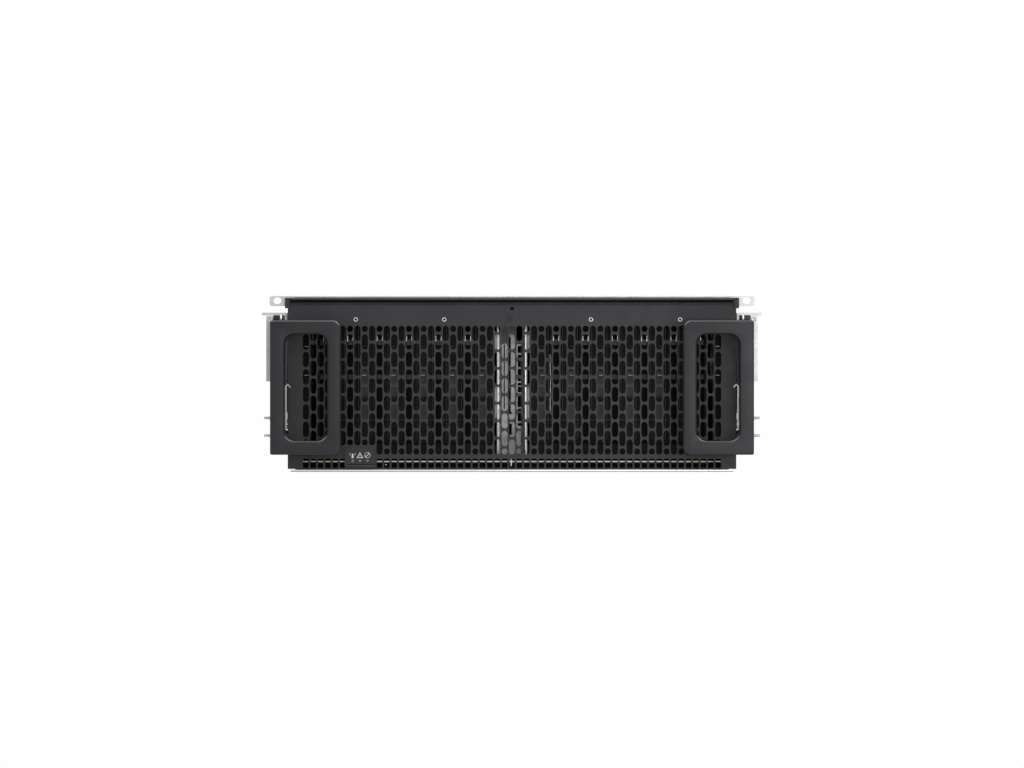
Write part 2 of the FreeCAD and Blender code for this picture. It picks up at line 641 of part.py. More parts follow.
def front_hood():
    """Folded sheet over the panel: a lip, a shadowed wall behind it, a top flange and two ends."""
    hood = new_body("hood")
    flange_half = f"({INNER} - wall_sheet)"
    lip = rectangle((HOOD_FRONT, PANEL_BACK), (f"{WALL_TOP} - hood_lip", WALL_TOP))
    wall = rectangle((PANEL_BACK, WALL_FRONT), (f"{PANEL_TOP} - hood_lap", WALL_TOP))
    flange = rectangle((WALL_FRONT, f"hood_deep + {WALL_FRONT} - wall_sheet"), (CEILING, WALL_TOP))
    pad(hood, "YZ", f"-{PANEL_EDGE}", PANEL_EDGE, [wall])
    pad(hood, "YZ", f"-{flange_half}", flange_half, [flange])
    pad(hood, "YZ", f"-{HOOD_EDGE}", HOOD_EDGE, [lip])
    end_low = f"({WALL_TOP} - hood_end_tall)"
    ends = [rectangle((f"{HOOD_EDGE} - hood_end_wide", HOOD_EDGE), (end_low, WALL_TOP)),
            rectangle((f"-{HOOD_EDGE}", f"hood_end_wide - {HOOD_EDGE}"), (end_low, WALL_TOP))]
    pad(hood, "XZ", HOOD_FRONT, PANEL_FRONT, ends)
    keep(hood, "front_hood")


def status_panel():
    """Bezel plugged into the panel's window."""
    bezel = new_body("bezel")
    low, high = "(-status_place - status_width / 2)", "(status_width / 2 - status_place)"
    top = "(status_lift + status_tall)"
    front = f"({PANEL_FRONT} - status_thick)"
    plate = pad(bezel, "XZ", front, PANEL_FRONT, [rectangle((low, high), ("status_lift", top))])
    corners = [(low, "status_lift"), (high, "status_lift")]
    round_corners(bezel, plate, corners, "status_lip")
    inset = "(status_rim + status_play)"
    plug = rectangle((f"{low} + {inset}", f"{high} - {inset}"),
                     (f"status_lift + status_lip + {inset}", f"{top} - {inset}"))
    pad(bezel, "XZ", PANEL_FRONT, f"{PANEL_BACK} + status_thick", [plug])
    keep(bezel, "status_bezel")


def handles():
    """Pull handles: a frame ahead of the panel whose inner bar stands free for the fingers."""
    handle = new_body("handle")
    frame = pad(handle, "XZ", HANDLE_FRONT, PANEL_FRONT,
                [rectangle((HANDLE_IN, HANDLE_OUT), ("handle_lift", HANDLE_TOP))])
    inner = [(HANDLE_IN, "handle_lift"), (HANDLE_IN, HANDLE_TOP)]
    frame = round_corners(handle, frame, inner, "handle_corner")
    outer = [(HANDLE_OUT, "handle_lift"), (HANDLE_OUT, HANDLE_TOP)]
    round_corners(handle, frame, outer, "handle_edge")
    opening = rectangle((GRIP_IN, GRIP_OUT), (GRIP_LOW, GRIP_TOP))
    cut = pocket(handle, "XZ", HANDLE_FRONT, PANEL_FRONT, [opening])
    rounded = round_corners(handle, cut, opening, "grip_corner")
    front = number(HANDLE_FRONT)
    rim = [f"Edge{index}" for index, edge in enumerate(rounded.Shape.Edges, start=1)
           if all(abs(point.Y - front) < 0.001 for point in edge.Vertexes)]
    soften(handle, "PartDesign::Chamfer", rounded, rim, "Size", "handle_bevel")
    finger_room = rectangle((HANDLE_IN, f"{GRIP_IN} + grip_corner"), (GRIP_LOW, GRIP_TOP))
    pocket(handle, "XZ", GRIP_BACK, PANEL_FRONT, [finger_room])
    notch_low, notch_high = "(trigger_pivot - 2 * tail_half)", "(trigger_pivot + 3 * tail_half)"
    post = [(TRIGGER_IN, "handle_lift"), (HANDLE_OUT, "handle_lift"),
            (HANDLE_OUT, HANDLE_TOP), (TRIGGER_IN, HANDLE_TOP),
            (TRIGGER_IN, notch_high), (GRIP_OUT, notch_high), (GRIP_OUT, notch_low), (TRIGGER_IN, notch_low)]
    pad(handle, "XZ", PANEL_FRONT, "0", [post])
    both_sides(handle, "handle")


def triggers():
    """Sheet steel triggers: an arm in the hand opening, a finger hook and a tail to the rail's catch."""
    trigger = new_body("trigger")
    arm_front = f"({HANDLE_FRONT} + trigger_inset)"
    arm_back = f"({arm_front} + trigger_deep)"
    tail_low, tail_high = "(trigger_pivot - tail_half)", "(trigger_pivot + tail_half)"
    blade = [(arm_front, tail_low), ("tail_reach", tail_low), ("tail_reach", tail_high),
             (arm_back, tail_high), (arm_back, "trigger_top"), (arm_front, "trigger_top")]
    pad(trigger, "YZ", TRIGGER_IN, TRIGGER_OUT, [blade])
    crest = f"({TRIGGER_IN} - hook_reach / 3)"
    tip = f"({TRIGGER_IN} - hook_reach)"
    hook = [(TRIGGER_OUT, "trigger_top - trigger_sheet"), (TRIGGER_OUT, "trigger_top + hook_rise / 2"),
            (crest, "trigger_top + hook_rise + trigger_sheet / 2"), (tip, "trigger_top"),
            (f"{tip} + trigger_sheet / 2", "trigger_top - trigger_sheet / 2"),
            (crest, "trigger_top + hook_rise - trigger_sheet / 2"), (TRIGGER_IN, "trigger_top + hook_rise / 4"),
            (TRIGGER_IN, "trigger_top - trigger_sheet")]
    pad(trigger, "XZ", arm_front, arm_back, [hook])
    pivot_y = f"({PANEL_FRONT} - trigger_axis)"
    bore = ((pivot_y, "trigger_pivot"), "pin_radius + pin_play")
    pocket(trigger, "YZ", TRIGGER_IN, TRIGGER_OUT, circles=[bore])
    both_sides(trigger, "release_trigger")
    start = f"({TRIGGER_IN} - trigger_sheet / 2)"
    pin = rod("trigger_pin", (start, pivot_y, "trigger_pivot"), "+X", "pin_radius", f"{GRIP_OUT} - {start}")
    group("trigger_pins", [pin, mirrored(pin, "trigger_pin_left")])


# Telescopic rails
def channel(name, web_in, web_out, tip, half):
    """A slide member: a web and two flanges, folded from sheet."""
    member = new_body(name)
    inside = f"({half} - rail_sheet)"
    low, high = f"(rail_centre - {half})", f"(rail_centre + {half})"
    low_in, high_in = f"(rail_centre - {inside})", f"(rail_centre + {inside})"
    fold = [(web_out, low), (tip, low), (tip, low_in), (web_in, low_in),
            (web_in, high_in), (tip, high_in), (tip, high), (web_out, high)]
    pad(member, "XZ", "rail_start", RAIL_END, [fold])
    return member


def rails():
    """Inner member on the chassis, middle member and outer member, nested with running clearance."""
    inner_tip = f"({SIDE} + rail_reach)"
    both_sides(channel("inner_rail", f"({SIDE} + rail_sheet)", SIDE, inner_tip, "rail_half"), "inner_rail")
    tip = f"({SIDE} + rail_sheet + rail_play)"
    mid_half = "(rail_half + rail_play + rail_sheet)"
    both_sides(channel("mid_rail", MID_WEB, f"({MID_WEB} + rail_sheet)", tip, mid_half), "mid_rail")
    outer_half = f"({mid_half} + rail_play + rail_sheet)"
    both_sides(channel("outer_rail", OUTER_WEB, BRACKET, tip, outer_half), "outer_rail")


def front_brackets():
    """Folded brackets that hold the outer members to the rack posts."""
    bracket = new_body("front_bracket")
    face = "bracket_gap"
    back = "(bracket_gap + bracket_sheet)"
    plate_out = f"({BRACKET} + bracket_sheet)"
    ear_out = f"({BRACKET} + bracket_ear_wide)"
    foot_in, foot_out = f"({BRACKET} + bracket_foot_in)", f"({BRACKET} + bracket_foot_in + bracket_foot_wide)"
    top_low = "(bracket_ear_top + bracket_top_lift)"
    catch_top = "(trigger_pivot - tail_half - catch_play)"
    flange = [(BRACKET, "bracket_foot"), (foot_out, "bracket_foot"), (foot_out, "bracket_ear_low"),
              (ear_out, "bracket_ear_low"), (ear_out, "bracket_ear_top"), (BRACKET, "bracket_ear_top"),
              (BRACKET, "trigger_window"), (foot_in, "trigger_window"),
              (foot_in, catch_top), (BRACKET, catch_top)]
    pad(bracket, "XZ", face, back, [flange])
    rail_low = "(rail_centre - rail_half)"
    plate_back = f"({back} + bracket_deep)"
    plate = [(back, "trigger_window"), ("window_deep", "trigger_window"), ("window_deep", rail_low),
             (plate_back, rail_low), (plate_back, "rail_centre + rail_half"),
             ("bracket_top_deep", top_low), (back, top_low)]
    pad(bracket, "YZ", BRACKET, plate_out, [plate])
    top = rectangle((BRACKET, f"{BRACKET} + bracket_top_wide"), ("bracket_top_front", "bracket_top_deep"))
    pad(bracket, "XY", top_low, f"{top_low} + bracket_top_thick", [top])
    tab = rectangle((f"{BRACKET} + tab_place", f"{BRACKET} + tab_place + tab_wide"),
                    (f"{top_low} - tab_tall", top_low))
    pad(bracket, "XZ", "bracket_top_front", face, [tab])
    fin = rectangle((back, f"{back} + fin_deep"), ("bracket_foot", "fin_top"))
    pad(bracket, "YZ", f"{foot_out} - bracket_sheet", foot_out, [fin])
    holes = [((RACK_HOLE, f"rack_hole_low + {step} * rack_hole_pitch"), "rack_hole_radius") for step in (0, 1)]
    pocket(bracket, "XZ", face, back, circles=holes)
    both_sides(bracket, "rail_front_bracket")


def rear_brackets():
    """Angle brackets that hold the outer members to the rear rack posts."""
    bracket = new_body("rear_bracket")
    low, high = "(rail_centre - rear_bracket_half)", "(rail_centre + rear_bracket_half)"
    fold = [(BRACKET, f"{RAIL_END} - rear_bracket_deep"),
            (f"{BRACKET} + bracket_sheet", f"{RAIL_END} - rear_bracket_deep"),
            (f"{BRACKET} + bracket_sheet", f"{RAIL_END} - bracket_sheet"),
            (f"{BRACKET} + bracket_ear_wide", f"{RAIL_END} - bracket_sheet"),
            (f"{BRACKET} + bracket_ear_wide", RAIL_END), (BRACKET, RAIL_END)]
    pad(bracket, "XY", low, high, [fold])
    holes = [((RACK_HOLE, f"rail_centre + {step} * rack_hole_pitch"), "rack_hole_radius")
             for step in (-0.5, 0.5)]
    pocket(bracket, "XZ", f"{RAIL_END} - bracket_sheet", RAIL_END, circles=holes)
    both_sides(bracket, "rail_rear_bracket")


# Cover
def cover():
    """Sheet cover with skirts that hang outside the side walls, and its two slotted rack ears."""
    lid = new_body("lid")
    skirt_in = f"({SIDE} + skirt_play)"
    skirt_low = f"({COVER_TOP} - skirt_tall)"
    fold = [(f"-{COVER_SIDE}", skirt_low), (f"-{skirt_in}", skirt_low), (f"-{skirt_in}", COVER_LOW),
            (skirt_in, COVER_LOW), (skirt_in, skirt_low), (COVER_SIDE, skirt_low),
            (COVER_SIDE, COVER_TOP), (f"-{COVER_SIDE}", COVER_TOP)]
    pad(lid, "XZ", "-cover_sheet", f"{REAR} - cover_short", [fold])
    keep(lid, "cover_sheet")

    ear = new_body("ear")
    ear_low = f"({COVER_TOP} - ear_tall)"
    ear_out = f"({RACK_HOLE} + ear_margin)"
    plate = pad(ear, "XZ", "-cover_sheet", "0", [rectangle((COVER_SIDE, ear_out), (ear_low, COVER_TOP))])
    round_corners(ear, plate, [(ear_out, ear_low), (ear_out, COVER_TOP)], "ear_corner")
    slot_z = f"({COVER_TOP} - ear_slot_drop)"
    run = "(ear_slot_long / 2 - ear_slot_half)"
    left, right = f"({RACK_HOLE} - {run})", f"({RACK_HOLE} + {run})"
    middle = rectangle((left, right), (f"{slot_z} - ear_slot_half", f"{slot_z} + ear_slot_half"))
    pocket(ear, "XZ", "-cover_sheet", "0", [middle])
    pocket(ear, "XZ", "-cover_sheet", "0", circles=[((left, slot_z), "ear_slot_half")])
    pocket(ear, "XZ", "-cover_sheet", "0", circles=[((right, slot_z), "ear_slot_half")])
    both_sides(ear, "cover_ear")


# Rear bay
def rear_bay():
    """Rear frame with its module openings, the fixed deck, shelves and module walls."""
    inner = number(INNER)
    play = number("module_play")
    low, high = number(MODULE_LOW) - play, number(MODULE_TOP) + play
    supply = number(SUPPLY_IN) - play, number(SUPPLY_OUT) + play
    io_half = number(IO_HALF) + play
    windows = [corners_of(*supply, low, high), corners_of(-supply[1], -supply[0], low, high),
               corners_of(-io_half, io_half, low, high)]
    for fan in range(FANS):
        x = number(fan_middle(fan))
        reach = number(FAN_HALF) + play
        windows.append(corners_of(x - reach, x + reach, number(FAN_LOW) - play, number(FAN_TOP) + play))
    outline = corners_of(-inner, inner, number("tray_sheet"), number(CEILING))
    perforated("rear_frame", outline, windows, f"{REAR} - rear_sheet", "rear_sheet")

    inside = (REAR_START, f"{REAR} - rear_sheet")
    deck_half = f"({INNER} - wall_flange)"
    keep(block("deck", (f"-{deck_half}", deck_half), (REAR_START, REAR), (CEILING, WALL_TOP)), "rear_deck")
    shelf = block("shelf", (f"-{INNER}", INNER), inside, (SHELF_LOW, SHELF_TOP))
    io_floor = f"({MODULE_LOW} + {IO_TALL} + module_play)"
    io_shelf = block("io_shelf", (f"-{MODULE_WALL}", MODULE_WALL), inside,
                     (io_floor, f"{io_floor} + module_sheet"))
    group("rear_shelves", [shelf, io_shelf])
    wall = block("module_wall", (MODULE_WALL, f"{MODULE_WALL} + module_sheet"), inside,
                 ("tray_sheet", SHELF_LOW))
    group("module_walls", [wall, mirrored(wall, "module_wall_left")])


def power_supplies():
    """Power supplies with a fixed grab handle, a mains inlet, vents and a press latch."""
    supply = new_body("supply")
    face_back = f"({REAR} + module_face)"
    case = rectangle((SUPPLY_IN, SUPPLY_OUT), (MODULE_LOW, MODULE_TOP))
    pad(supply, "XZ", f"{REAR_START} + supply_short", REAR, [case])
    face = rectangle((f"{SUPPLY_IN} - module_lap", f"{SUPPLY_OUT} + module_lap"),
                     (f"{MODULE_LOW} - module_lap", f"{MODULE_TOP} + module_lap"))
    pad(supply, "XZ", REAR, face_back, [face])
    inlet_x, inlet_z = f"({SUPPLY_IN} + inlet_wide)", f"({MODULE_LOW} + inlet_tall)"
    inlet = rectangle((f"{inlet_x} - inlet_wide / 2", f"{inlet_x} + inlet_wide / 2"),
                      (f"{inlet_z} - inlet_tall / 2", f"{inlet_z} + inlet_tall / 2"))
    pocket(supply, "XZ", f"{face_back} - inlet_deep", face_back, [inlet])
    vents = []
    for row in range(5):
        low = f"({MODULE_LOW} + module_tall / 2 + {row} * 2 * guard_bar * 2)"
        vents.append(rectangle((f"{SUPPLY_IN} + guard_bar * 3", f"{SUPPLY_IN} + supply_width / 2"),
                               (low, f"{low} + 2 * guard_bar")))
    pocket(supply, "XZ", f"{face_back} - vent_pocket", face_back, vents)
    grab_in = f"({SUPPLY_OUT} - 2 * grab_wide)"
    grab_low = f"({MODULE_LOW} + grab_wide)"
    grab_end = f"({face_back} + grab_reach)"
    grab = [(face_back, grab_low), (grab_end, grab_low), (grab_end, f"{grab_low} + grab_tall"),
            (face_back, f"{grab_low} + grab_tall"), (face_back, f"{grab_low} + grab_tall - grab_bar"),
            (f"{grab_end} - grab_bar", f"{grab_low} + grab_tall - grab_bar"),
            (f"{grab_end} - grab_bar", f"{grab_low} + grab_bar"), (face_back, f"{grab_low} + grab_bar")]
    pad(supply, "YZ", grab_in, f"{grab_in} + grab_wide", [grab])
    both_sides(supply, "power_supply")

    latch = new_body("latch")
    latch_low = f"({MODULE_TOP} - latch_tall)"
    latch_front = f"({face_back} + latch_play)"
    wedge = [(grab_in, latch_front), (f"{grab_in} + latch_wide", latch_front),
             (f"{grab_in} + latch_wide", f"{face_back} + latch_reach / 2"),
             (grab_in, f"{face_back} + latch_reach")]
    pad(latch, "XY", latch_low, MODULE_TOP, [wedge])
    both_sides(latch, "supply_latch")


def io_module(label, low):
    """Input/output module: a tray with a face of cable ports and a lip to pull it by."""
    module = new_body(label)
    high = f"({low} + {IO_TALL})"
    face_back = f"({REAR} + module_face)"
    pad(module, "XZ", f"{REAR_START} + module_lift", REAR, [rectangle((f"-{IO_HALF}", IO_HALF), (low, high))])
    pad(module, "XZ", REAR, face_back, [rectangle((f"-{IO_HALF}", IO_HALF), (low, high))])
    ports = []
    for index in range(PORTS):
        x = f"({index - PORTS / 2} * port_pitch)"
        ports.append(rectangle((x, f"{x} + port_wide"), (f"{low} + port_tall", f"{low} + 2 * port_tall")))
    service = f"({PORTS / 2} * port_pitch + port_tall)"
    ports.append(rectangle((service, f"{service} + port_wide"),
                           (f"{low} + port_tall", f"{low} + 2.3 * port_tall")))
    pocket(module, "XZ", f"{face_back} - port_deep", face_back, ports)
    for side in (-1, 1):
        x = f"({side} * ({IO_HALF} - pull_wide))"
        tab = rectangle((f"{x} - pull_wide / 2", f"{x} + pull_wide / 2"),
                        (f"{high} - 3 * pull_thick", f"{high} - 2 * pull_thick"))
        pad(module, "XZ", face_back, f"{face_back} + pull_reach", [tab])
    keep(module, label)


def fan_middle(index):
    """Centre of a fan module, across the chassis."""
    return f"({index - (FANS - 1) / 2} * {FAN_PITCH})"


def fan_module(index):
    """Fan frame with a round air way, motor spider, finger guard and pull tab, and its rotor."""
    x, z = fan_middle(index), FAN_MIDDLE
    face_back = f"({REAR} + module_face)"
    start = f"({REAR} - fan_deep)"
    frame = new_body(f"fan_frame_{index + 1}")
    pad(frame, "XZ", start, REAR, [rectangle((f"{x} - {FAN_HALF}", f"{x} + {FAN_HALF}"), (FAN_LOW, FAN_TOP))])
    lap = rectangle((f"{x} - {FAN_HALF} - module_lap", f"{x} + {FAN_HALF} + module_lap"),
                    (f"{FAN_LOW} - module_lap", f"{FAN_TOP} + module_lap"))
    pad(frame, "XZ", REAR, face_back, [lap])
    turns = [math.radians(22.5 * step) for step in range(16)]
    bore = [(f"{x} + fan_bore * {math.cos(turn):.6f}", f"{z} + fan_bore * {math.sin(turn):.6f}")
            for turn in turns]
    pocket(frame, "XZ", start, face_back, [bore])
    spider = f"({REAR} - spider_place)"
    cross = [(f"{x} - fan_bore", f"{x} + fan_bore", f"{z} - spider_arm / 2", f"{z} + spider_arm / 2"),
             (f"{x} - fan_hub", f"{x} + fan_hub", f"{z} - fan_hub", f"{z} + fan_hub")]
    for left, right, low, high in cross:
        pad(frame, "XZ", spider, f"{spider} + spider_thick", [rectangle((left, right), (low, high))])
    bars = []
    for step in range(-3, 4):
        bar = f"({z} + {step} * guard_pitch)"
        bars.append(rectangle((f"{x} - fan_bore", f"{x} + fan_bore"),
                              (f"{bar} - guard_bar / 2", f"{bar} + guard_bar / 2")))
    pad(frame, "XZ", REAR, face_back, bars)
    pull = rectangle((f"{x} - pull_wide / 2", f"{x} + pull_wide / 2"), (FAN_LOW, f"{FAN_LOW} + pull_thick"))
    pad(frame, "XZ", face_back, f"{face_back} + pull_reach", [pull])
    keep(frame, f"fan_frame_{index + 1}")
    fan_rotor(index, x, z, f"({spider} - fan_play)")


def fan_rotor(index, x, z, hub_back):
    """Hub and slanted blades, turned about the module's own axis."""
    rotor = new_body(f"fan_rotor_{index + 1}")
    hub_front = f"({hub_back} - fan_hub_long)"
    centre = new_sketch(rotor, "XZ", hub_front, (x, z))
    sides = 2 * FAN_BLADES
    turns = [math.radians(90 + (step + 0.5) * 360 / sides) for step in range(sides)]
    draw_loop(centre, [(f"fan_hub * {math.cos(turn):.6f}", f"fan_hub * {math.sin(turn):.6f}")
                       for turn in turns])
    extrude(rotor, "PartDesign::Pad", centre, "XZ", "fan_hub_long")
    pocket(rotor, "XZ", f"{hub_back} - fan_seat", hub_back, circles=[((x, z), "fan_seat / 2")])
    blade_front, blade_back = f"({hub_front} + fan_blade)", f"({hub_back} - fan_blade)"
    slant = [(f"{x} - fan_chord / 2", blade_front), (f"{x} - fan_chord / 2 + fan_blade", blade_front),
             (f"{x} + fan_chord / 2", blade_back), (f"{x} + fan_chord / 2 - fan_blade", blade_back)]
    blade = pad(rotor, "XY", f"{z} + fan_hub * 0.6", f"{z} + fan_tip", [slant])
    ring = rotor.newObject("PartDesign::PolarPattern", f"fan_blades_{index + 1}")
    ring.Originals = [blade]
    ring.Axis = (centre, ["N_Axis"])
    ring.Angle = 360
    ring.Occurrences = FAN_BLADES
    rotor.Tip = ring
    doc.recompute()
    keep(rotor, f"fan_rotor_{index + 1}")


def write_parts():
    """Check every object and every sub-part's shape, then write each sub-part to its own file."""
    doc.recompute()
    failed = [item.Label for item in doc.Objects if {"Invalid", "Error"} & set(item.State)]
    if failed:
        raise RuntimeError(f"objects that failed: {failed}")
    for part in parts:
        if part.Shape.isNull() or not part.Shape.isValid() or not part.Shape.Solids:
            raise RuntimeError(f"no sound shape: {part.Label}")
    os.makedirs("parts", exist_ok=True)
    for part in parts:
        part.Shape.exportStep(f"parts/{part.Label}.step")
    print(f"{len(parts)} sub-parts, {sum(len(part.Shape.Solids) for part in parts)} solids")


base_tray()
side_walls()
drive_cage()
drives_and_carriers()
front_grille()
front_hood()
status_panel()
handles()
triggers()
rails()
front_brackets()
rear_brackets()
cover()
rear_bay()
power_supplies()
io_module("lower_io_module", MODULE_LOW)
io_module("upper_io_module", f"({MODULE_TOP} - {IO_TALL})")
for fan_index in range(FANS):
    fan_module(fan_index)
write_parts()
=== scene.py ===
# %% [markdown]
# # A storage array, dressed for its portrait
# The object is a rack enclosure that holds sixty upright drives: a perforated black front between two pull
# handles, a bright zinc cover with rack ears, telescopic rails, and plug-in modules at the rear. This
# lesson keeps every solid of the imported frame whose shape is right, gives each a worked finish, and models
# the finer pieces that make sheet metal and plastic believable.

# %% Load the solids
import math

import bpy
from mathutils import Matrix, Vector


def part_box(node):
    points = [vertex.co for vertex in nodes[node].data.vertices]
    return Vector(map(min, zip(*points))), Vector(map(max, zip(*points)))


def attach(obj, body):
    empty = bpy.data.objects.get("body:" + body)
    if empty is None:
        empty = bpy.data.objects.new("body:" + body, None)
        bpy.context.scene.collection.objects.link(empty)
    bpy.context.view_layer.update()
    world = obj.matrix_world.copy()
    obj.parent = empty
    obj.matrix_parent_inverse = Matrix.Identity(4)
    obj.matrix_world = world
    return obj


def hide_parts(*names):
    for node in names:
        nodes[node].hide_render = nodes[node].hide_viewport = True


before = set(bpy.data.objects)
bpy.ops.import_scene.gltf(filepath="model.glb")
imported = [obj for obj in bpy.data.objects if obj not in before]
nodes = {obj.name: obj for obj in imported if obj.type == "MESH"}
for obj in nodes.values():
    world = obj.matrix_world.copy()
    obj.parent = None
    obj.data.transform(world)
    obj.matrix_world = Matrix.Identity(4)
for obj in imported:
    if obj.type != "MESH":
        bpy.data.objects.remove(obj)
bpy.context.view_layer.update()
MM = 0.001

# %% [markdown]
# ## Four effects that the finishes share
# Powder coat is a fine orange peel, rolled zinc has drawn lines and faint crystals, and what is handled
# gathers soft smudges. Edges that look up and forward get a painted highlight, a lighter grey where light
# from above would catch them. Each effect is a node group, so one change reaches every material that uses it.
# The patterns read Object coordinates, so they run on from piece to piece.

# %% Node groups for grain, rolled sheet, handling and painted edge highlight
def feed(tree, socket, value):
    """Link an input to the socket that it reads, or set its plain value."""
    if isinstance(value, bpy.types.NodeSocket):
        tree.links.new(value, socket)
    else:
        socket.default_value = value


def set_node(tree, node, **values):
    """Set a node's properties and feed its inputs."""
    for name, value in values.items():
        if hasattr(node, name):
            setattr(node, name, value)
        else:
            feed(tree, node.inputs[name.replace("_", " ")], value)
    return node


def add_node(tree, kind, **values):
    """A new node with its settings and inputs."""
    return set_node(tree, tree.nodes.new(kind), **values)


def compute(tree, operation, *terms):
    """The result of a math node."""
    node = add_node(tree, "ShaderNodeMath", operation=operation)
    for socket, term in zip(node.inputs, terms):
        feed(tree, socket, term)
    return node.outputs[0]


def new_group(name, **inputs):
    """An empty shader group with number inputs, and the sockets that give them inside."""
    group = bpy.data.node_groups.new(name, "ShaderNodeTree")
    for label, value in inputs.items():
        socket = group.interface.new_socket(label, in_out="INPUT", socket_type="NodeSocketFloat")
        socket.default_value = value
    return group, group.nodes.new("NodeGroupInput").outputs


def give(group, **results):
    """End a group with its number outputs."""
    for label in results:
        group.interface.new_socket(label, in_out="OUTPUT", socket_type="NodeSocketFloat")
    set_node(group, group.nodes.new("NodeGroupOutput"), **results)
    return group


def object_place(tree):
    """The place on the object that patterns read."""
    return add_node(tree, "ShaderNodeTexCoord").outputs["Object"]


def powder_grain():
    """Fine pimples of a powder coat, with a slower drift of tone."""
    group, entry = new_group("powder grain", Scale=900.0)
    place = object_place(group)
    fine = add_node(group, "ShaderNodeTexNoise", Vector=place, Scale=entry["Scale"],
                    Detail=2.0, Roughness=0.6)
    drift = add_node(group, "ShaderNodeTexNoise", Vector=place, Scale=14.0, Detail=3.0)
    return give(group, Tone=drift.outputs["Fac"], Height=fine.outputs["Fac"])


def rolled_sheet():
    """Drawn lines along the sheet's length over the faint crystals of a zinc bath."""
    group, entry = new_group("rolled sheet", Lines=1.0, Crystals=170.0)
    place = object_place(group)
    stretch = add_node(group, "ShaderNodeMapping", Vector=place, Scale=(420.0, 6.0, 420.0))
    lines = add_node(group, "ShaderNodeTexNoise", Vector=stretch.outputs["Vector"],
                     Scale=1.0, Detail=4.0, Roughness=0.65).outputs["Fac"]
    crystal = add_node(group, "ShaderNodeTexVoronoi", Vector=place, Scale=entry["Crystals"], Randomness=1.0)
    spread = add_node(group, "ShaderNodeSeparateColor", Color=crystal.outputs["Color"])
    soft = compute(group, "MULTIPLY", spread.outputs["Red"], 0.22)
    return give(group, Tone=compute(group, "MULTIPLY_ADD", lines, entry["Lines"], soft), Height=lines)


def handling_marks():
    """Soft smudges and dust, darker and lighter patches a hand wide."""
    group, entry = new_group("handling marks", Size=22.0)
    cloud = add_node(group, "ShaderNodeTexNoise", Vector=object_place(group), Scale=entry["Size"],
                     Detail=5.0, Roughness=0.7, Distortion=0.4)
    clip = add_node(group, "ShaderNodeMapRange", Value=cloud.outputs["Fac"], From_Min=0.35, From_Max=0.7)
    return give(group, Smudge=clip.outputs["Result"])


def painted_edge_highlight():
    """Painted highlight: a mask for rounded edges that look up and forward, strongest at corners, as if lit
    from above.
    """
    group, entry = new_group("painted edge highlight", Start=0.25, Full=0.65)
    normal = add_node(group, "ShaderNodeNewGeometry").outputs["Normal"]
    parts = add_node(group, "ShaderNodeSeparateXYZ", Vector=normal).outputs
    least = compute(group, "MINIMUM", parts["Z"], compute(group, "MULTIPLY", parts["Y"], -1.0))
    ramp = add_node(group, "ShaderNodeMapRange", Value=least, From_Min=entry["Start"], From_Max=entry["Full"])
    corner = compute(group, "MULTIPLY_ADD", compute(group, "ABSOLUTE", parts["X"]), 1.4, 0.35)
    return give(group, Wear=compute(group, "MULTIPLY", ramp.outputs["Result"], corner))


GRAIN = powder_grain()
SHEET = rolled_sheet()
MARKS = handling_marks()
EDGE_HIGHLIGHT_MASK = painted_edge_highlight()
print("node groups:", GRAIN.name, SHEET.name, MARKS.name, EDGE_HIGHLIGHT_MASK.name)

# %% [markdown]
# ## The finishes
# Every finish has the same bones: a pattern group tints the colour between a dark and a light value, the
# handling group moves the roughness, and the pattern's height drives a very small bump. Only the Principled
# shader's own sockets hold what is the same all over, such as metalness.

# %% How a finish is made
finishes = {}


def mixed(tree, factor, first, second):
    """A blend of two colours."""
    blend = add_node(tree, "ShaderNodeMix", data_type="RGBA", Factor=factor, A=first, B=second)
    return blend.outputs["Result"]


def finish(name, slot, pattern, dark, light, rough, metal=0.0, bump=0.1, specular=0.5, lit_edge_grey=None, **inputs):
    """A procedural material: colour and bump from a pattern, roughness from handling, and an optional painted
    edge highlight.
    """
    material = bpy.data.materials.new(name)
    material.use_nodes = True
    tree = material.node_tree
    surface = add_node(tree, "ShaderNodeGroup", node_tree=pattern, **inputs).outputs
    colour = mixed(tree, surface["Tone"], (*dark, 1.0), (*light, 1.0))
    # painted highlight: edges that look up and forward take the lighter grey, as if lit from above
    if lit_edge_grey:
        highlight = add_node(tree, "ShaderNodeGroup", node_tree=EDGE_HIGHLIGHT_MASK).outputs["Wear"]
        colour = mixed(tree, highlight, colour, (*lit_edge_grey, 1.0))
    smudge = add_node(tree, "ShaderNodeGroup", node_tree=MARKS).outputs["Smudge"]
    gloss = add_node(tree, "ShaderNodeMapRange", Value=smudge, To_Min=rough[0], To_Max=rough[1])
    relief = add_node(tree, "ShaderNodeBump", Height=surface["Height"], Strength=bump, Distance=0.00005)
    set_node(tree, tree.nodes["Principled BSDF"], Metallic=metal, Specular_IOR_Level=specular,
             Base_Color=colour, Roughness=gloss.outputs["Result"], Normal=relief.outputs["Normal"])
    finishes[name] = (material, slot)


def greys(dark, light, cool=0.0):
    """A dark and a light neutral colour, or a pair with a little more blue."""
    return [(value, value, value * (1 + cool)) for value in (dark, light)]


print("finishes can be mixed")

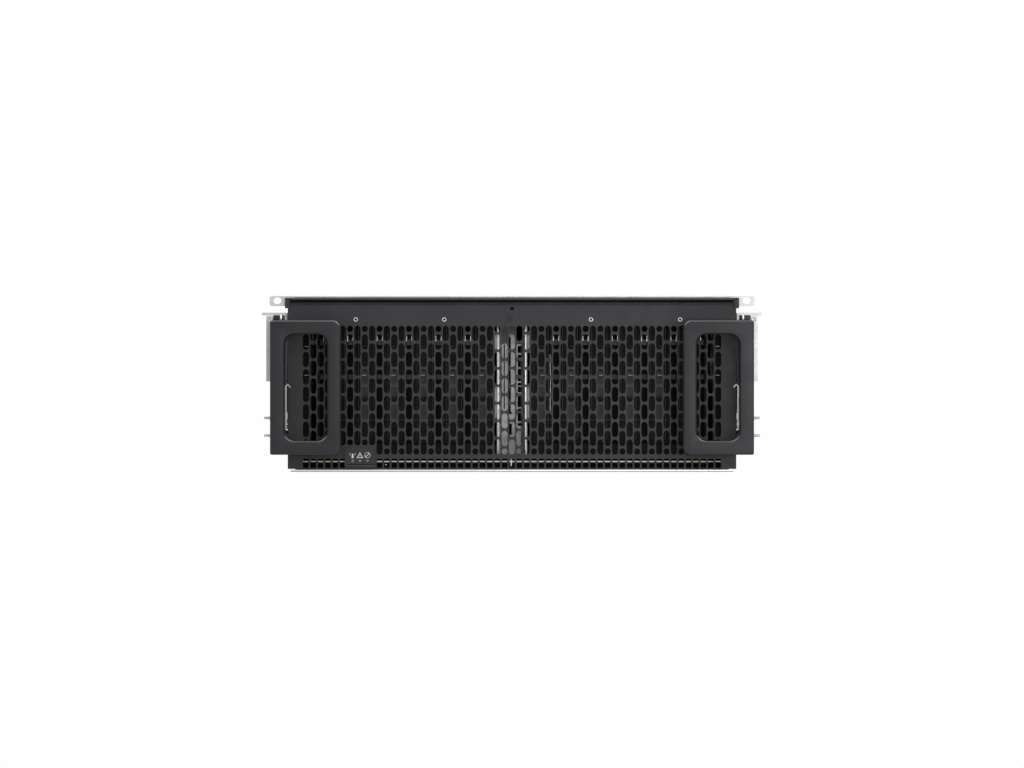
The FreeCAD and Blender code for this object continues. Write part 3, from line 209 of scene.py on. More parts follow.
# %% Metals, coats and plastics
METALS = (  # name, slot, dark, light, roughness, bump
    ("zinc sheet", "zinc_sheet", *greys(0.28, 0.46), (0.4, 0.55), 0.06),
    ("bright zinc", "pale_zinc", *greys(0.4, 0.6), (0.38, 0.5), 0.05),
    ("cut edge", "pale_zinc", *greys(0.78, 0.92), (0.3, 0.4), 0.04),
    ("wall zinc", "zinc_sheet", *greys(0.2, 0.34), (0.42, 0.58), 0.06),
    ("rail zinc", "rail_steel", *greys(0.34, 0.54), (0.34, 0.46), 0.06),
    ("trigger steel", "rail_steel", *greys(0.24, 0.38), (0.38, 0.5), 0.06),
    ("module casing", "module_grey", *greys(0.2, 0.33), (0.42, 0.56), 0.06),
    ("contact gold", "rail_steel", (0.7, 0.48, 0.16), (0.88, 0.64, 0.26), (0.25, 0.36), 0.04),
)
COATS = (  # name, slot, dark, light, roughness, bump, specular, grain scale
    ("black powder coat", "black_paint", *greys(0.015, 0.023, 0.2), (0.42, 0.56), 0.25, 0.4, 900.0),
    # carrier plastic and carrier front: black plastic made darker still, partly painted shade behind the
    # sheet
    ("carrier plastic", "carrier_plastic", *greys(0.004, 0.007), (0.5, 0.62), 0.3, 0.15, 1400.0),
    ("carrier front", "carrier_plastic", *greys(0.005, 0.009), (0.5, 0.62), 0.25, 0.15, 1400.0),
    ("carrier rib", "carrier_plastic", *greys(0.018, 0.028, 0.12), (0.42, 0.55), 0.2, 0.5, 1400.0),
    ("carrier pad", "carrier_plastic", *greys(0.034, 0.05, 0.06), (0.45, 0.6), 0.25, 0.3, 1400.0),
    # baffle paint is lightened to offset the header's shadow: painted light
    ("baffle paint", "black_paint", *greys(0.2, 0.26), (0.5, 0.65), 0.25, 0.3, 900.0),
    ("board mask", "board", (0.11, 0.13, 0.05), (0.2, 0.22, 0.1), (0.35, 0.5), 0.15, 0.5, 260.0),
    ("board edge", "board", (0.86, 0.85, 0.76), (0.95, 0.94, 0.88), (0.5, 0.65), 0.3, 0.5, 1800.0),
    ("socket plastic", "socket_plastic", *greys(0.01, 0.018), (0.45, 0.6), 0.2, 0.5, 900.0),
    ("latch red", "latch_plastic", (0.22, 0.02, 0.018), (0.33, 0.035, 0.03), (0.4, 0.52), 0.2, 0.5, 900.0),
    ("bezel plastic", "bezel_plastic", *greys(0.008, 0.013, 0.25), (0.3, 0.42), 0.1, 0.4, 900.0),
    ("lens", "light_lens", *greys(0.16, 0.24), (0.3, 0.4), 0.05, 0.5, 900.0),
    ("printed white", "bezel_plastic", *greys(0.9, 0.96), (0.5, 0.6), 0.1, 0.5, 900.0),
    ("fan plastic", "fan_plastic", *greys(0.012, 0.02), (0.45, 0.58), 0.25, 0.5, 1200.0),
    ("deep shadow", "socket_plastic", *greys(0.003, 0.005), (0.7, 0.85), 0.1, 0.1, 900.0),
)
# the grey of the painted highlight on edges that look up and forward
PAINTED_HIGHLIGHT_GREY = (0.3, 0.3, 0.3)
for name, slot, dark, light, rough, bump in METALS:
    finish(name, slot, SHEET, dark, light, rough, metal=1.0, bump=bump)
for name, slot, dark, light, rough, bump, specular, scale in COATS:
    finish(name, slot, GRAIN, dark, light, rough, bump=bump, specular=specular, Scale=scale)
# the handle paint carries the painted edge highlight
finish("handle paint", "black_paint", GRAIN, *greys(0.01, 0.016, 0.32), (0.34, 0.46),
       bump=0.18, specular=0.34, lit_edge_grey=PAINTED_HIGHLIGHT_GREY)
# the hem paint is lighter than the hood's coat and carries the edge mask: painted highlight on the rolled
# nose
finish("hem paint with painted highlight", "black_paint", GRAIN, *greys(0.03, 0.042, 0.1), (0.36, 0.48), bump=0.18, lit_edge_grey=PAINTED_HIGHLIGHT_GREY)
finish("cast drive case", "drive_case", GRAIN, *greys(0.34, 0.46), (0.38, 0.52),
       metal=1.0, bump=0.2, Scale=500.0)
print(len(finishes), "finishes")

# %% [markdown]
# ## Dress the solids
# The solids that stay keep their meshes and only take a material. Their names tell what each is made of, so
# one table from a word in the name to a finish is enough. The first word that fits decides.

# %% Materials on the solids
SOLID_FINISHES = (
    ("side_wall", "wall zinc"), ("hood", "black powder coat"), ("handle", "handle paint"),
    ("cover", "bright zinc"), ("ear", "bright zinc"), ("rail", "rail zinc"),
    # the beams take the darkened carrier plastic: painted shade where they would show lit
    ("release_trigger", "trigger steel"), ("pins", "rail zinc"), ("beams", "carrier plastic"),
    ("power_supply", "module casing"), ("io_module", "module casing"), ("latch", "latch red"),
    ("bezel", "bezel plastic"), ("baffle", "zinc sheet"), ("baseboard", "board mask"),
    ("sockets", "socket plastic"), ("drive_row", "cast drive case"), ("carrier", "carrier plastic"),
    ("fan_", "fan plastic"),
)


def paint(piece, name):
    """Give a piece one finish."""
    piece.data.materials.clear()
    piece.data.materials.append(finishes[name][0])


for name, solid in nodes.items():
    match = [look for word, look in SOLID_FINISHES if word in name]
    paint(solid, match[0] if match else "zinc sheet")
print("dressed", len(nodes), "solids")

# %% [markdown]
# ## The ways a piece is made
# Small pieces start as a primitive at its size and place, get their shape in edit mode, and end with a
# bevel so that edges catch light. These helpers hold the steps that repeat.

# %% Selecting and adding
def deselect():
    """Leave edit mode and select nothing."""
    if bpy.context.mode != "OBJECT":
        bpy.ops.object.mode_set(mode="OBJECT")
    bpy.ops.object.select_all(action="DESELECT")


def pick(*pieces):
    """Select these pieces, the first one active."""
    deselect()
    for piece in pieces:
        piece.select_set(True)
    bpy.context.view_layer.objects.active = pieces[0]


def apply_place():
    """Write the selected piece's place, turn and scale into its mesh."""
    bpy.ops.object.transform_apply(location=True, rotation=True, scale=True)


def settle(piece, name):
    """Name a new piece and write its place into its mesh."""
    pick(piece)
    piece.name = name
    piece.data.name = name
    apply_place()
    return piece


def block(name, low, high):
    """A cube primitive between two corners, in millimetres."""
    deselect()
    middle = [(a + b) / 2 * MM for a, b in zip(low, high)]
    bpy.ops.mesh.primitive_cube_add(size=1.0, location=middle)
    bpy.context.object.scale = [(b - a) * MM for a, b in zip(low, high)]
    return settle(bpy.context.object, name)


TURNS = {"X": (0.0, math.pi / 2, 0.0), "Y": (math.pi / 2, 0.0, 0.0), "Z": (0.0, 0.0, 0.0)}


def disc(name, centre, radius, height, axis="Y", sides=20):
    """A cylinder primitive about its centre, in millimetres."""
    deselect()
    bpy.ops.mesh.primitive_cylinder_add(vertices=sides, radius=radius * MM, depth=height * MM,
                                        location=[value * MM for value in centre], rotation=TURNS[axis])
    return settle(bpy.context.object, name)


def corners(node):
    """A solid's lowest and highest corner in millimetres."""
    low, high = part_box(node)
    return [value / MM for value in low], [value / MM for value in high]


print("pieces can be added")


# %% Shaping
def edit_all(piece):
    """Enter edit mode with the whole piece selected."""
    pick(piece)
    bpy.ops.object.mode_set(mode="EDIT")
    bpy.ops.mesh.select_all(action="SELECT")


def leave_edit():
    """Back to object mode."""
    bpy.ops.object.mode_set(mode="OBJECT")


def choose(piece, test):
    """Enter edit mode with only the faces that pass a test of their normal and centre selected."""
    pick(piece)
    bpy.ops.object.mode_set(mode="EDIT")
    bpy.ops.mesh.select_mode(type="FACE")
    bpy.ops.mesh.select_all(action="DESELECT")
    leave_edit()
    for face in piece.data.polygons:
        face.select = bool(test(face.normal, face.center / MM))
    bpy.ops.object.mode_set(mode="EDIT")


def facing(axis, sign):
    """A test for faces that look along an axis."""
    return lambda normal, centre: sign * normal["xyz".index(axis)] > 0.9


FRONT_FACE, BACK_FACE = facing("y", -1), facing("y", 1)
TOP_FACE, FOOT_FACE, SIDE_FACE = facing("z", 1), facing("z", -1), facing("x", 1)


def sink(piece, test, rim, depth, slope=0.0001):
    """Inset the chosen faces and push them in, with walls that lean in by the slope."""
    choose(piece, test)
    bpy.ops.mesh.inset(thickness=rim * MM, depth=0.0)
    bpy.ops.mesh.inset(thickness=slope * MM, depth=-depth * MM)
    leave_edit()


def modified(piece, kind, **values):
    """Add a modifier, set it and apply it."""
    pick(piece)
    modifier = piece.modifiers.new(kind.title(), kind)
    for name, value in values.items():
        setattr(modifier, name, value)
    bpy.ops.object.modifier_apply(modifier=modifier.name)
    return piece


def bevelled(piece, width, segments=2):
    """Round every sharp edge."""
    return modified(piece, "BEVEL", width=width * MM, segments=segments,
                    limit_method="ANGLE", angle_limit=0.6)


def bar(name, low, high, soft, segments=2):
    """A block with rounded edges."""
    return bevelled(block(name, low, high), soft, segments)


def hollow_head(name, centre, radius, height, test, rim, depth, soft, segments=2, slope=0.0001, **kind):
    """A fastener's round head with a hollow in one end and rounded edges."""
    head = disc(name, centre, radius, height, **kind)
    sink(head, test, rim, depth, slope)
    return bevelled(head, soft, segments)


def outward(piece):
    """Turn every face of a closed piece to look out."""
    edit_all(piece)
    bpy.ops.mesh.normals_make_consistent(inside=False)
    leave_edit()


print("pieces can be shaped")


# %% Copying and handing over
def joined(name, pieces):
    """One mesh from several."""
    pick(*pieces)
    if len(pieces) > 1:
        bpy.ops.object.join()
    pieces[0].name = name
    pieces[0].data.name = name
    return pieces[0]


def bars(name, boxes, soft, segments=2):
    """Several blocks as one mesh with rounded edges."""
    return bevelled(joined(name, [block("bar", *box) for box in boxes]), soft, segments)


def twin_of(piece, offset=(0, 0, 0)):
    """A copy of a piece with its own mesh, moved by an offset in millimetres."""
    pick(piece)
    bpy.ops.object.duplicate(linked=False)
    bpy.ops.transform.translate(value=[value * MM for value in offset])
    apply_place()
    return bpy.context.object


def repeated(name, piece, offsets):
    """A piece and its copies at offsets in millimetres, joined."""
    return joined(name, [piece] + [twin_of(piece, offset) for offset in offsets])


def flipped(piece):
    """A copy of a piece across the centre line, its faces turned to look out again."""
    twin = twin_of(piece)
    twin.scale.x = -1.0
    apply_place()
    outward(twin)
    return twin


def mirrored(piece):
    """The piece and its twin across the centre line, joined under the piece's name."""
    return joined(piece.name, [piece, flipped(piece)])


def hand_over(piece, look, body="chassis", smooth=35.0):
    """Finish a piece: smooth its curves, paint it and let it move with a body."""
    pick(piece)
    bpy.ops.object.shade_smooth_by_angle(angle=math.radians(smooth))
    paint(piece, look)
    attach(piece, body)


def side_pieces(right_piece, body, look):
    """A right-hand piece and its left-hand twin, each named after its side and moving with it."""
    name = right_piece.name
    for side, piece in (("right", right_piece), ("left", flipped(right_piece))):
        settle(piece, f"{side}_{name}")
        hand_over(piece, look, f"{side}_{body}")


print("pieces can be copied and handed over")

# %% [markdown]
# ## The perforated front
# A flat curve suits a sheet punched with staggered round-ended slots: its outer outline is one spline, each
# hole is another, and the curve fills what lies between. A hair of bevel softens the punched edges. Even
# columns end in a round hole at the top and odd ones at the bottom, and the status panel's place stays
# free.

# %% Outlines
def round_ended(x, low, high, width, steps=5):
    """Outline of an upright slot with half-round ends."""
    radius = width / 2
    turns = [math.pi * step / steps for step in range(steps + 1)]
    top = [(x + radius * math.cos(turn), high - radius + radius * math.sin(turn)) for turn in turns]
    foot = [(x - radius * math.cos(turn), low + radius - radius * math.sin(turn)) for turn in turns]
    return top + foot


def soft_box(x_low, x_high, z_low, z_high, radius):
    """Outline of a box with cut corners."""
    left, right, foot, top = x_low + radius, x_high - radius, z_low + radius, z_high - radius
    return [(left, z_low), (right, z_low), (x_high, foot), (x_high, top),
            (right, z_high), (left, z_high), (x_low, top), (x_low, foot)]


def ring_points(x, z, radius, start, end, steps):
    """Points along an arc, angles in degrees."""
    turns = [math.radians(start + (end - start) * step / steps) for step in range(steps + 1)]
    return [(x + radius * math.cos(turn), z + radius * math.sin(turn)) for turn in turns]


def punched_sheet(name, outlines, front, back, edge=0.18):
    """A filled flat curve stood upright between two places along Y, as a mesh."""
    deselect()
    bpy.ops.curve.primitive_nurbs_path_add()
    curve = bpy.context.object.data
    curve.splines.clear()
    curve.dimensions = "2D"
    curve.fill_mode = "BOTH"
    for outline in outlines:
        spline = curve.splines.new("POLY")
        spline.points.add(len(outline) - 1)
        for point, (x, z) in zip(spline.points, outline):
            point.co = (x * MM, z * MM, 0.0, 1.0)
        spline.use_cyclic_u = True
    curve.bevel_depth = edge * MM
    curve.bevel_resolution = 0
    curve.offset = -edge * MM
    curve.extrude = ((back - front) / 2 - edge) * MM
    bpy.ops.object.convert(target="MESH")
    sheet = bpy.context.object
    sheet.rotation_euler = (math.pi / 2, 0.0, 0.0)
    sheet.location = (0.0, (front + back) / 2 * MM, 0.0)
    settle(sheet, name)
    edit_all(sheet)
    bpy.ops.mesh.remove_doubles(threshold=0.000001)
    bpy.ops.mesh.normals_make_consistent(inside=False)
    leave_edit()
    return sheet


print("outlines can be punched")

# %% Front sheet with its slots
SLOT_PITCH, SLOT_WIDE, SLOT_LONG, SLOT_GAP, SHORT_HOLE = 7.295, 5.85, 15.2, 2.15, 6.3
STEP = SLOT_LONG + SLOT_GAP
GRILLE_LOW, ROWS, SPAN = 17.0, 7, 28
VENT_LOW, VENT_HIGH, VENT_WIDE = 3.9, 12.9, 5.4
VENT_LAP = 1.9  # a vent may reach this far over the status panel
WINDOW_RIM, WINDOW_FOOT = 2.5, 5.7  # the status panel's edges around its window in the sheet
SIGHT_HOLE, SIGHT_EDGE = 3.6, 1.9  # the sight hole's width, and its distance from the sheet's top
panel_low, panel_high = corners("front_grille")
bezel_low, bezel_high = corners("status_bezel")


def column_spans(column):
    """Lowest and highest place of each slot in one column."""
    if column % 2:
        start = GRILLE_LOW + SHORT_HOLE
        return [(GRILLE_LOW, start)] + [(start + SLOT_GAP + row * STEP, start + (row + 1) * STEP)
                                        for row in range(ROWS)]
    top = GRILLE_LOW + ROWS * STEP
    return [(GRILLE_LOW + row * STEP, GRILLE_LOW + row * STEP + SLOT_LONG)
            for row in range(ROWS)] + [(top, top + SHORT_HOLE)]


def front_outlines():
    """Every spline of the front sheet: its edge, slots, vents, status window and sight hole."""
    outlines = [soft_box(panel_low[0], panel_high[0], panel_low[2], panel_high[2], 0.6)]
    for column in range(-SPAN, SPAN + 1):
        x = column * SLOT_PITCH
        over_status = bezel_low[0] - SLOT_WIDE / 2 < x < bezel_high[0] + SLOT_WIDE / 2
        for bottom, top in column_spans(column):
            bottom = max(bottom, bezel_high[2] + SLOT_GAP) if over_status else bottom
            if top - bottom > SHORT_HOLE * 0.9:
                outlines.append(round_ended(x, bottom, top, SLOT_WIDE))
        left, right = x - VENT_WIDE / 2, x + VENT_WIDE / 2
        if right < bezel_low[0] + VENT_LAP or left > bezel_high[0] - VENT_LAP:
            outlines.append(soft_box(left, right, VENT_LOW, VENT_HIGH, 0.7))
    outlines.append(soft_box(bezel_low[0] + WINDOW_RIM, bezel_high[0] - WINDOW_RIM,
                             bezel_low[2] + WINDOW_FOOT, bezel_high[2] - WINDOW_RIM, 0.6))
    sight_top = panel_high[2] - SIGHT_EDGE
    outlines.append(round_ended(0.0, sight_top - SIGHT_HOLE, sight_top, SIGHT_HOLE))
    return outlines


front_sheet = punched_sheet("front_sheet", front_outlines(), panel_low[1], panel_high[1])
hand_over(front_sheet, "black powder coat", smooth=25.0)
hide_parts("front_grille")
print("front sheet:", len(front_sheet.data.polygons), "faces")

# %% [markdown]
# ## Header and hood
# Four hollow rivets hold the sheet to the hood behind it, each a short cylinder with a sunk front face and
# a dark disc of painted shade in its hollow. A black screw sits beside the small sight hole, which holds a
# dark disc of painted shade. The hood's nose ends in a rolled hem whose lighter paint is painted highlight,
# over a dark strip of painted shade where the nose steps back.

# %% Header rivets, screw, hem, and painted shade in the rivets, the sight hole and under the nose
FACE = panel_low[1]
RIVET_X, RIVET_Z = (-154.9, -67.2, 78.2, 166.6), 150.9
hood_low, hood_high = corners("front_hood")
NOSE, HOOD_TOP = hood_low[1], hood_high[2]
rivet_steps = [(x - RIVET_X[0], 0, 0) for x in RIVET_X[1:]]

rivet = hollow_head("rivet", (RIVET_X[0], FACE - 0.4, RIVET_Z), 2.2, 0.8, FRONT_FACE, 1.0, 0.5, 0.18,
                    sides=24)
rivets = repeated("header_rivets", rivet, rivet_steps)
hand_over(rivets, "rail zinc")
# a dark disc of painted shade in each rivet's hollow
shade_disc = disc("rivet_shade_disc", (RIVET_X[0], FACE - 0.35, RIVET_Z), 1.12, 0.5, sides=16)
hand_over(repeated("rivet_shade_discs", bevelled(shade_disc, 0.1), rivet_steps), "deep shadow")
hand_over(hollow_head("header_screw", (-1.6, FACE - 0.6, 151.9), 2.7, 1.2, FRONT_FACE, 1.5, 0.7, 0.35, 3,
                      sides=24), "bezel plastic")
# the sight hole's darkness is painted shade: a dark disc just behind the sheet
lens = disc("sight_hole_shade", (0.0, FACE + 0.9, panel_high[2] - SIGHT_EDGE - SIGHT_HOLE / 2), 2.2, 0.8)
hand_over(bevelled(lens, 0.15), "deep shadow")
# the hem's lighter paint is painted highlight on the hood's rolled nose
hand_over(bar("hood_hem", (-219.6, NOSE - 0.9, HOOD_TOP - 2.1), (219.0, NOSE + 0.2, HOOD_TOP - 0.3), 0.6, 4),
          "hem paint with painted highlight")
# a dark strip of painted shade under the hem, where the nose steps back
hand_over(bar("hood_nose_shade", (-219.2, NOSE - 0.3, HOOD_TOP - 4.7), (218.6, NOSE + 0.2, HOOD_TOP - 2.2), 0.15),
          "deep shadow")
print("header:", len(rivets.data.polygons), "faces in four rivets, hood nose at", round(NOSE, 2))

# %% [markdown]
# ## The status panel
# A small moulded panel low on the left carries three printed signs over three unlit lights: a beacon for
# locate, a triangle for fault and a struck circle for power off. The signs are cut from a very thin filled
# curve, as screen print is, and a rounded lip closes the panel's foot, its top edge in the handle paint with
# its painted highlight, under a dark strip of painted shade where a groove would be.

# %% Status signs, lights and lip
BEZEL = bezel_low[1]
SIGN_Z, BEACON_X, FAULT_X, POWER_X = 16.5, -157.9, -150.6, -143.3
LIGHT_X, LIGHT_Z, LIGHT_STEP = -157.85, 10.75, 7.25


def arc_band(x, z, radius, width, start, end, steps=6):
    """Outline of a thin arc, angles in degrees."""
    outer = ring_points(x, z, radius, start, end, steps)
    return outer + ring_points(x, z, radius - width, end, start, steps)


def around(x, z, *points):
    """Outline points given from a sign's centre."""
    return [(x + dx, z + dz) for dx, dz in points]


def status_signs():
    """Outlines of a beacon between two light waves, a fault triangle with its mark, and a struck circle."""
    beacon = around(BEACON_X, SIGN_Z, (-1.1, -2.8), (1.1, -2.8), (0.65, 1.5), (-0.65, 1.5))
    waves = [arc_band(BEACON_X, SIGN_Z + 1.0, 2.8, 0.35, start, start + 64) for start in (148, -32)]
    wide = around(FAULT_X, SIGN_Z, (-3.3, -2.8), (3.3, -2.8), (0.0, 2.9))
    inner = around(FAULT_X, SIGN_Z, (-2.15, -2.15), (0.0, 1.6), (2.15, -2.15))
    mark = around(FAULT_X, SIGN_Z, (-0.25, 0.3), (0.25, 0.3), (0.15, -1.6), (-0.15, -1.6))
    circle = ring_points(POWER_X, SIGN_Z, 2.9, 0, 345, 23)
    halves = [ring_points(POWER_X - shift, SIGN_Z + shift, 2.25, start, start + 180, 10)
              for shift, start in ((0.22, 45), (-0.22, 225))]
    return [beacon, *waves, wide, inner, mark, circle, *halves]


signs = punched_sheet("status_signs", status_signs(), BEZEL - 0.12, BEZEL, edge=0.01)
hand_over(signs, "printed white", smooth=10.0)
light = bevelled(disc("status_light", (LIGHT_X, BEZEL - 0.15, LIGHT_Z), 1.3, 0.5), 0.2)
hand_over(repeated("status_lights", light, [(LIGHT_STEP * step, 0, 0) for step in (1, 2)]), "lens")
# the lip's top edge gets the handle paint's painted highlight
lip = bar("status_lip", (bezel_low[0] + 1.2, BEZEL - 1.0, bezel_low[2] + 0.3),
          (bezel_high[0] - 1.2, BEZEL + 1.0, 6.5), 0.95, 4)
hand_over(lip, "handle paint")
# a dark strip of painted shade above the lip, standing for a groove's shade
groove_shade = bar("status_groove_shade", (bezel_low[0] + 1.5, BEZEL - 0.06, 7.0),
             (bezel_high[0] - 1.5, BEZEL + 0.3, 7.6), 0.04, 1)
hand_over(groove_shade, "deep shadow")
print("status panel:", signs.name, lip.name, groove_shade.name)

# %% [markdown]
# ## What shows behind the slots
# The first row of drive carriers stands close behind the sheet. Each has a moulded front beside a gap that a
# dark strip of painted shade fills, and the carriers' plastic is darker than real black plastic, partly
# painted shade for the space behind the sheet. Upright ribs, raised pads and thin spring strips catch some
# light, and two bent steel fingers shine near the top of each gap. Plain fillers with small tags stand beside
# the last carriers. One front is modelled, copied to the six columns of the left half and mirrored.

# %% Carrier fronts
BAY_START, PITCH, COLUMNS = 16.8, 29.08, 6
FRONT_FOOT, FRONT_TOP = 28.0, 152.0
STRIP_Z, BEAD_Z = (51.0, 95.2), (73.2, 123.8)
left_edges = [-BAY_START - PITCH * (step + 1) for step in range(COLUMNS)]
carrier_low, carrier_high = corners("carrier_row_1")
FRONT = carrier_low[1]
BAY = left_edges[0]
half = [(other - BAY, 0, 0) for other in left_edges[1:]]

moulding = block("carrier_front", (BAY + 6.2, FRONT - 2.2, FRONT_FOOT), (BAY + 28.2, FRONT, FRONT_TOP))
sink(moulding, FRONT_FACE, 2.4, 1.1)
fronts = mirrored(repeated("carrier_fronts", bevelled(moulding, 0.3, 1), half))
hand_over(fronts, "carrier front")


def on_carriers(name, look, soft, places):
    """Rounded bars on one carrier's front, copied to the left six carriers and mirrored to the right."""
    boxes = [((BAY + x, FRONT - front, low), (BAY + x + wide, FRONT - back, high))
             for x, wide, front, back, low, high in places]
    hand_over(mirrored(repeated(name, bars(name, boxes, soft, 1), half)), look)


on_carriers("carrier_ribs", "carrier rib", 0.2, [
    (9.4, 0.8, 2.4, 0.6, 31.0, 149.0), (12.6, 0.9, 2.4, 0.6, 36.0, 88.0),
    (19.6, 0.9, 2.4, 0.6, 31.0, 149.0), (24.6, 0.8, 2.4, 0.6, 60.0, 149.0)])
on_carriers("carrier_pads", "carrier pad", 0.3, [
    (13.0, 7.2, 2.7, 1.0, low, high) for low, high in ((50.0, 68.2), (74.5, 100.0))])
# a dark strip of painted shade fills the gap beside each front
on_carriers("gap_shades", "deep shadow", 0.1, [(-0.8, 6.9, 0.6, -0.2, FRONT_FOOT, FRONT_TOP)])
on_carriers("gap_spacers", "carrier pad", 0.3, [(-0.9, 7.1, 1.8, 0.5, 91.5, 96.5)])
on_carriers("gap_bridges", "carrier rib", 0.3, [(-0.9, 7.1, 1.8, 0.5, 125.5, 131.5)])
on_carriers("spring_strips", "carrier rib", 0.12, [(6.4, 21.6, 2.9, 2.3, z, z + 0.8) for z in STRIP_Z])
on_carriers("strip_tags", "module casing", 0.15, [(13.0, 4.6, 3.2, 2.6, z, z + 1.0) for z in STRIP_Z])
on_carriers("front_beads", "carrier pad", 0.2, [(13.0, 4.6, 3.0, 0.9, z, z + 0.9) for z in BEAD_Z])
print("carrier fronts:", len(fronts.data.polygons), "faces")

# %% Fillers, spring clips and a light guide
filler = block("side_fillers", (198.2, FRONT - 2.0, FRONT_FOOT), (213.7, FRONT, FRONT_TOP))
sink(filler, FRONT_FACE, 2.4, 0.9)
hand_over(mirrored(bevelled(filler, 0.3, 1)), "carrier front")
tags = [((202.0, FRONT - 2.6, z), (206.6, FRONT - 1.0, z + 1.0)) for z in (*STRIP_Z, BEAD_Z[1])]
hand_over(mirrored(bars("filler_tags", tags, 0.15, 1)), "module casing")

CLIP_LOW, CLIP_HIGH, CLIP_DROP, CLIP_LEAN, CLIP_APART = 130.6, 134.8, 1.2, 0.4, 2.6
GAP_X, CARRIER_SLOTS = -6 * SLOT_PITCH, 4 * SLOT_PITCH


def spring_finger(x, lean):
    """A strip of spring steel whose foot splays to one side."""
    finger = block("finger", (x - 0.3, FRONT - 2.6, CLIP_LOW), (x + 0.3, FRONT, CLIP_HIGH))
    choose(finger, FOOT_FACE)
    splay = lean * CLIP_LEAN
    bpy.ops.mesh.extrude_region_move(TRANSFORM_OT_translate={"value": (splay * MM, 0.0, -CLIP_DROP * MM)})
    foot = ((x + splay) * MM, FRONT * MM, (CLIP_LOW - CLIP_DROP) * MM)
    bpy.ops.transform.resize(value=(1.8, 1.0, 1.0), center_override=foot)
    leave_edit()
    return bevelled(finger, 0.12, 1)


pair = joined("carrier_clips", [spring_finger(GAP_X + side * CLIP_APART, side) for side in (-1, 1)])
clip_row = repeated("carrier_clips", pair, [(-CARRIER_SLOTS * step, 0, 0) for step in range(1, COLUMNS)])
hand_over(mirrored(clip_row), "cut edge")
guide = block("light_guide", (37.6, FRONT - 3.0, 60.0), (38.3, FRONT - 2.1, 74.0))
for drift in (0.35, -0.3, -0.2):
    choose(guide, TOP_FACE)
    bpy.ops.mesh.extrude_region_move(TRANSFORM_OT_translate={"value": (drift * MM, 0.0, 14.0 * MM)})
    leave_edit()
hand_over(bevelled(guide, 0.15, 1), "bright zinc")
print("clips in", len(clip_row.data.polygons), "faces, and one light guide")

# %% [markdown]
# ## Board edge, seal and centre channel
# Through the low vents one sees the cut edge of the wiring board as a row of pale dashes, with dark strips of
# painted shade above and below it. In the middle the two channel walls show as bright cut edges, and the air
# baffle between them has dark strips of painted shade at its folds and seam, a grey head lightened with
# painted light against the header's shadow, and a ladder of small windows.

# %% Board edge, strips of painted shade, and the tray lip with painted shade at its foot
TRAY_FRONT, TRAY_HALF = corners("base_tray")[0][1], 219.5
hand_over(bar("board_edge", (-212.0, -3.2, 9.65), (212.0, 6.1, 10.75), 0.15), "board edge")
key = block("board_key", (-1.3, -3.45, 5.6), (-0.3, -2.6, 12.8))
pin = disc("board_pin", (-124.9, 0.4, 7.0), 0.6, 6.4, sides=12)
hand_over(bevelled(joined("board_pins", [key, pin]), 0.15), "bright zinc")
# dark strips of painted shade above and below the board edge
board_shade = [((-213.0, 3.4, low), (213.0, 6.0, high)) for low, high in ((2.6, 8.6), (11.2, 16.6))]
hand_over(bars("board_shade_strips", board_shade, 0.5), "deep shadow")
# the lower, darker strip is painted shade along the tray's foot, for the shadow where it meets the floor
for name, reach, low, high, look in (("tray_lip", 0.5, 0.85, 2.1, "cut edge"),
                                     ("tray_foot_shade", 0.4, 0.03, 0.8, "wall zinc")):
    strip = bar(name, (-TRAY_HALF, TRAY_FRONT - reach, low), (TRAY_HALF, TRAY_FRONT + 0.3, high), 0.2)
    hand_over(strip, look)
print("tray front", round(TRAY_FRONT, 2))

# %% Channel edges, tabs and baffle
WALL_FRONT = corners("cage_walls")[0][1]
CHANNEL_FOOT = 17.0
baffle_low, baffle_high = corners("centre_baffle")
BAFFLE = baffle_low[1]
WINDOWS = ((45.4, 48.2), (50.0, 62.2), (64.2, 74.8), (78.8, 88.2), (90.0, 93.6), (95.4, 102.0),
           (104.0, 111.0), (113.0, 116.0), (118.0, 125.0))


def wall_strips(name, starts, wide, top, soft, look):
    """Upright strips on the front edges of the cage's walls."""
    strips = [((x, WALL_FRONT - 0.9, CHANNEL_FOOT), (x + wide, WALL_FRONT + 0.4, top)) for x in starts]
    hand_over(bars(name, strips, soft), look)


wall_strips("channel_edges", (-14.4, 12.75), 1.15, FRONT_TOP, 0.25, "cut edge")
tabs = [((15.1, WALL_FRONT, low), (17.3, WALL_FRONT + 0.7, high))
        for low, high in ((53.0, 84.0), (121.0, 136.0))]
hand_over(mirrored(bars("wall_tabs", tabs, 0.2)), "wall zinc")
# dark blocks of painted shade over the front edges of the outer cage walls
wall_strips("wall_shade_blocks", (-193.3, 190.3), 3.0, 166.0, 0.3, "carrier plastic")
# dark strips of painted shade at the baffle's fold, its foot, a window and its seam
shade_lines = [((x_low, BAFFLE - 1.6, low), (x_high, BAFFLE + 0.3, high))
         for x_low, x_high, low, high in ((-3.1, -1.2, 57.0, baffle_high[2] - 2.0), (-3.2, -0.3, 57.0, 59.4),
                                          (-2.9, -0.2, 36.5, 47.5), (-8.0, -7.2, 62.0, 134.0))]
hand_over(bars("baffle_shade_lines", shade_lines, 0.25, 1), "deep shadow")
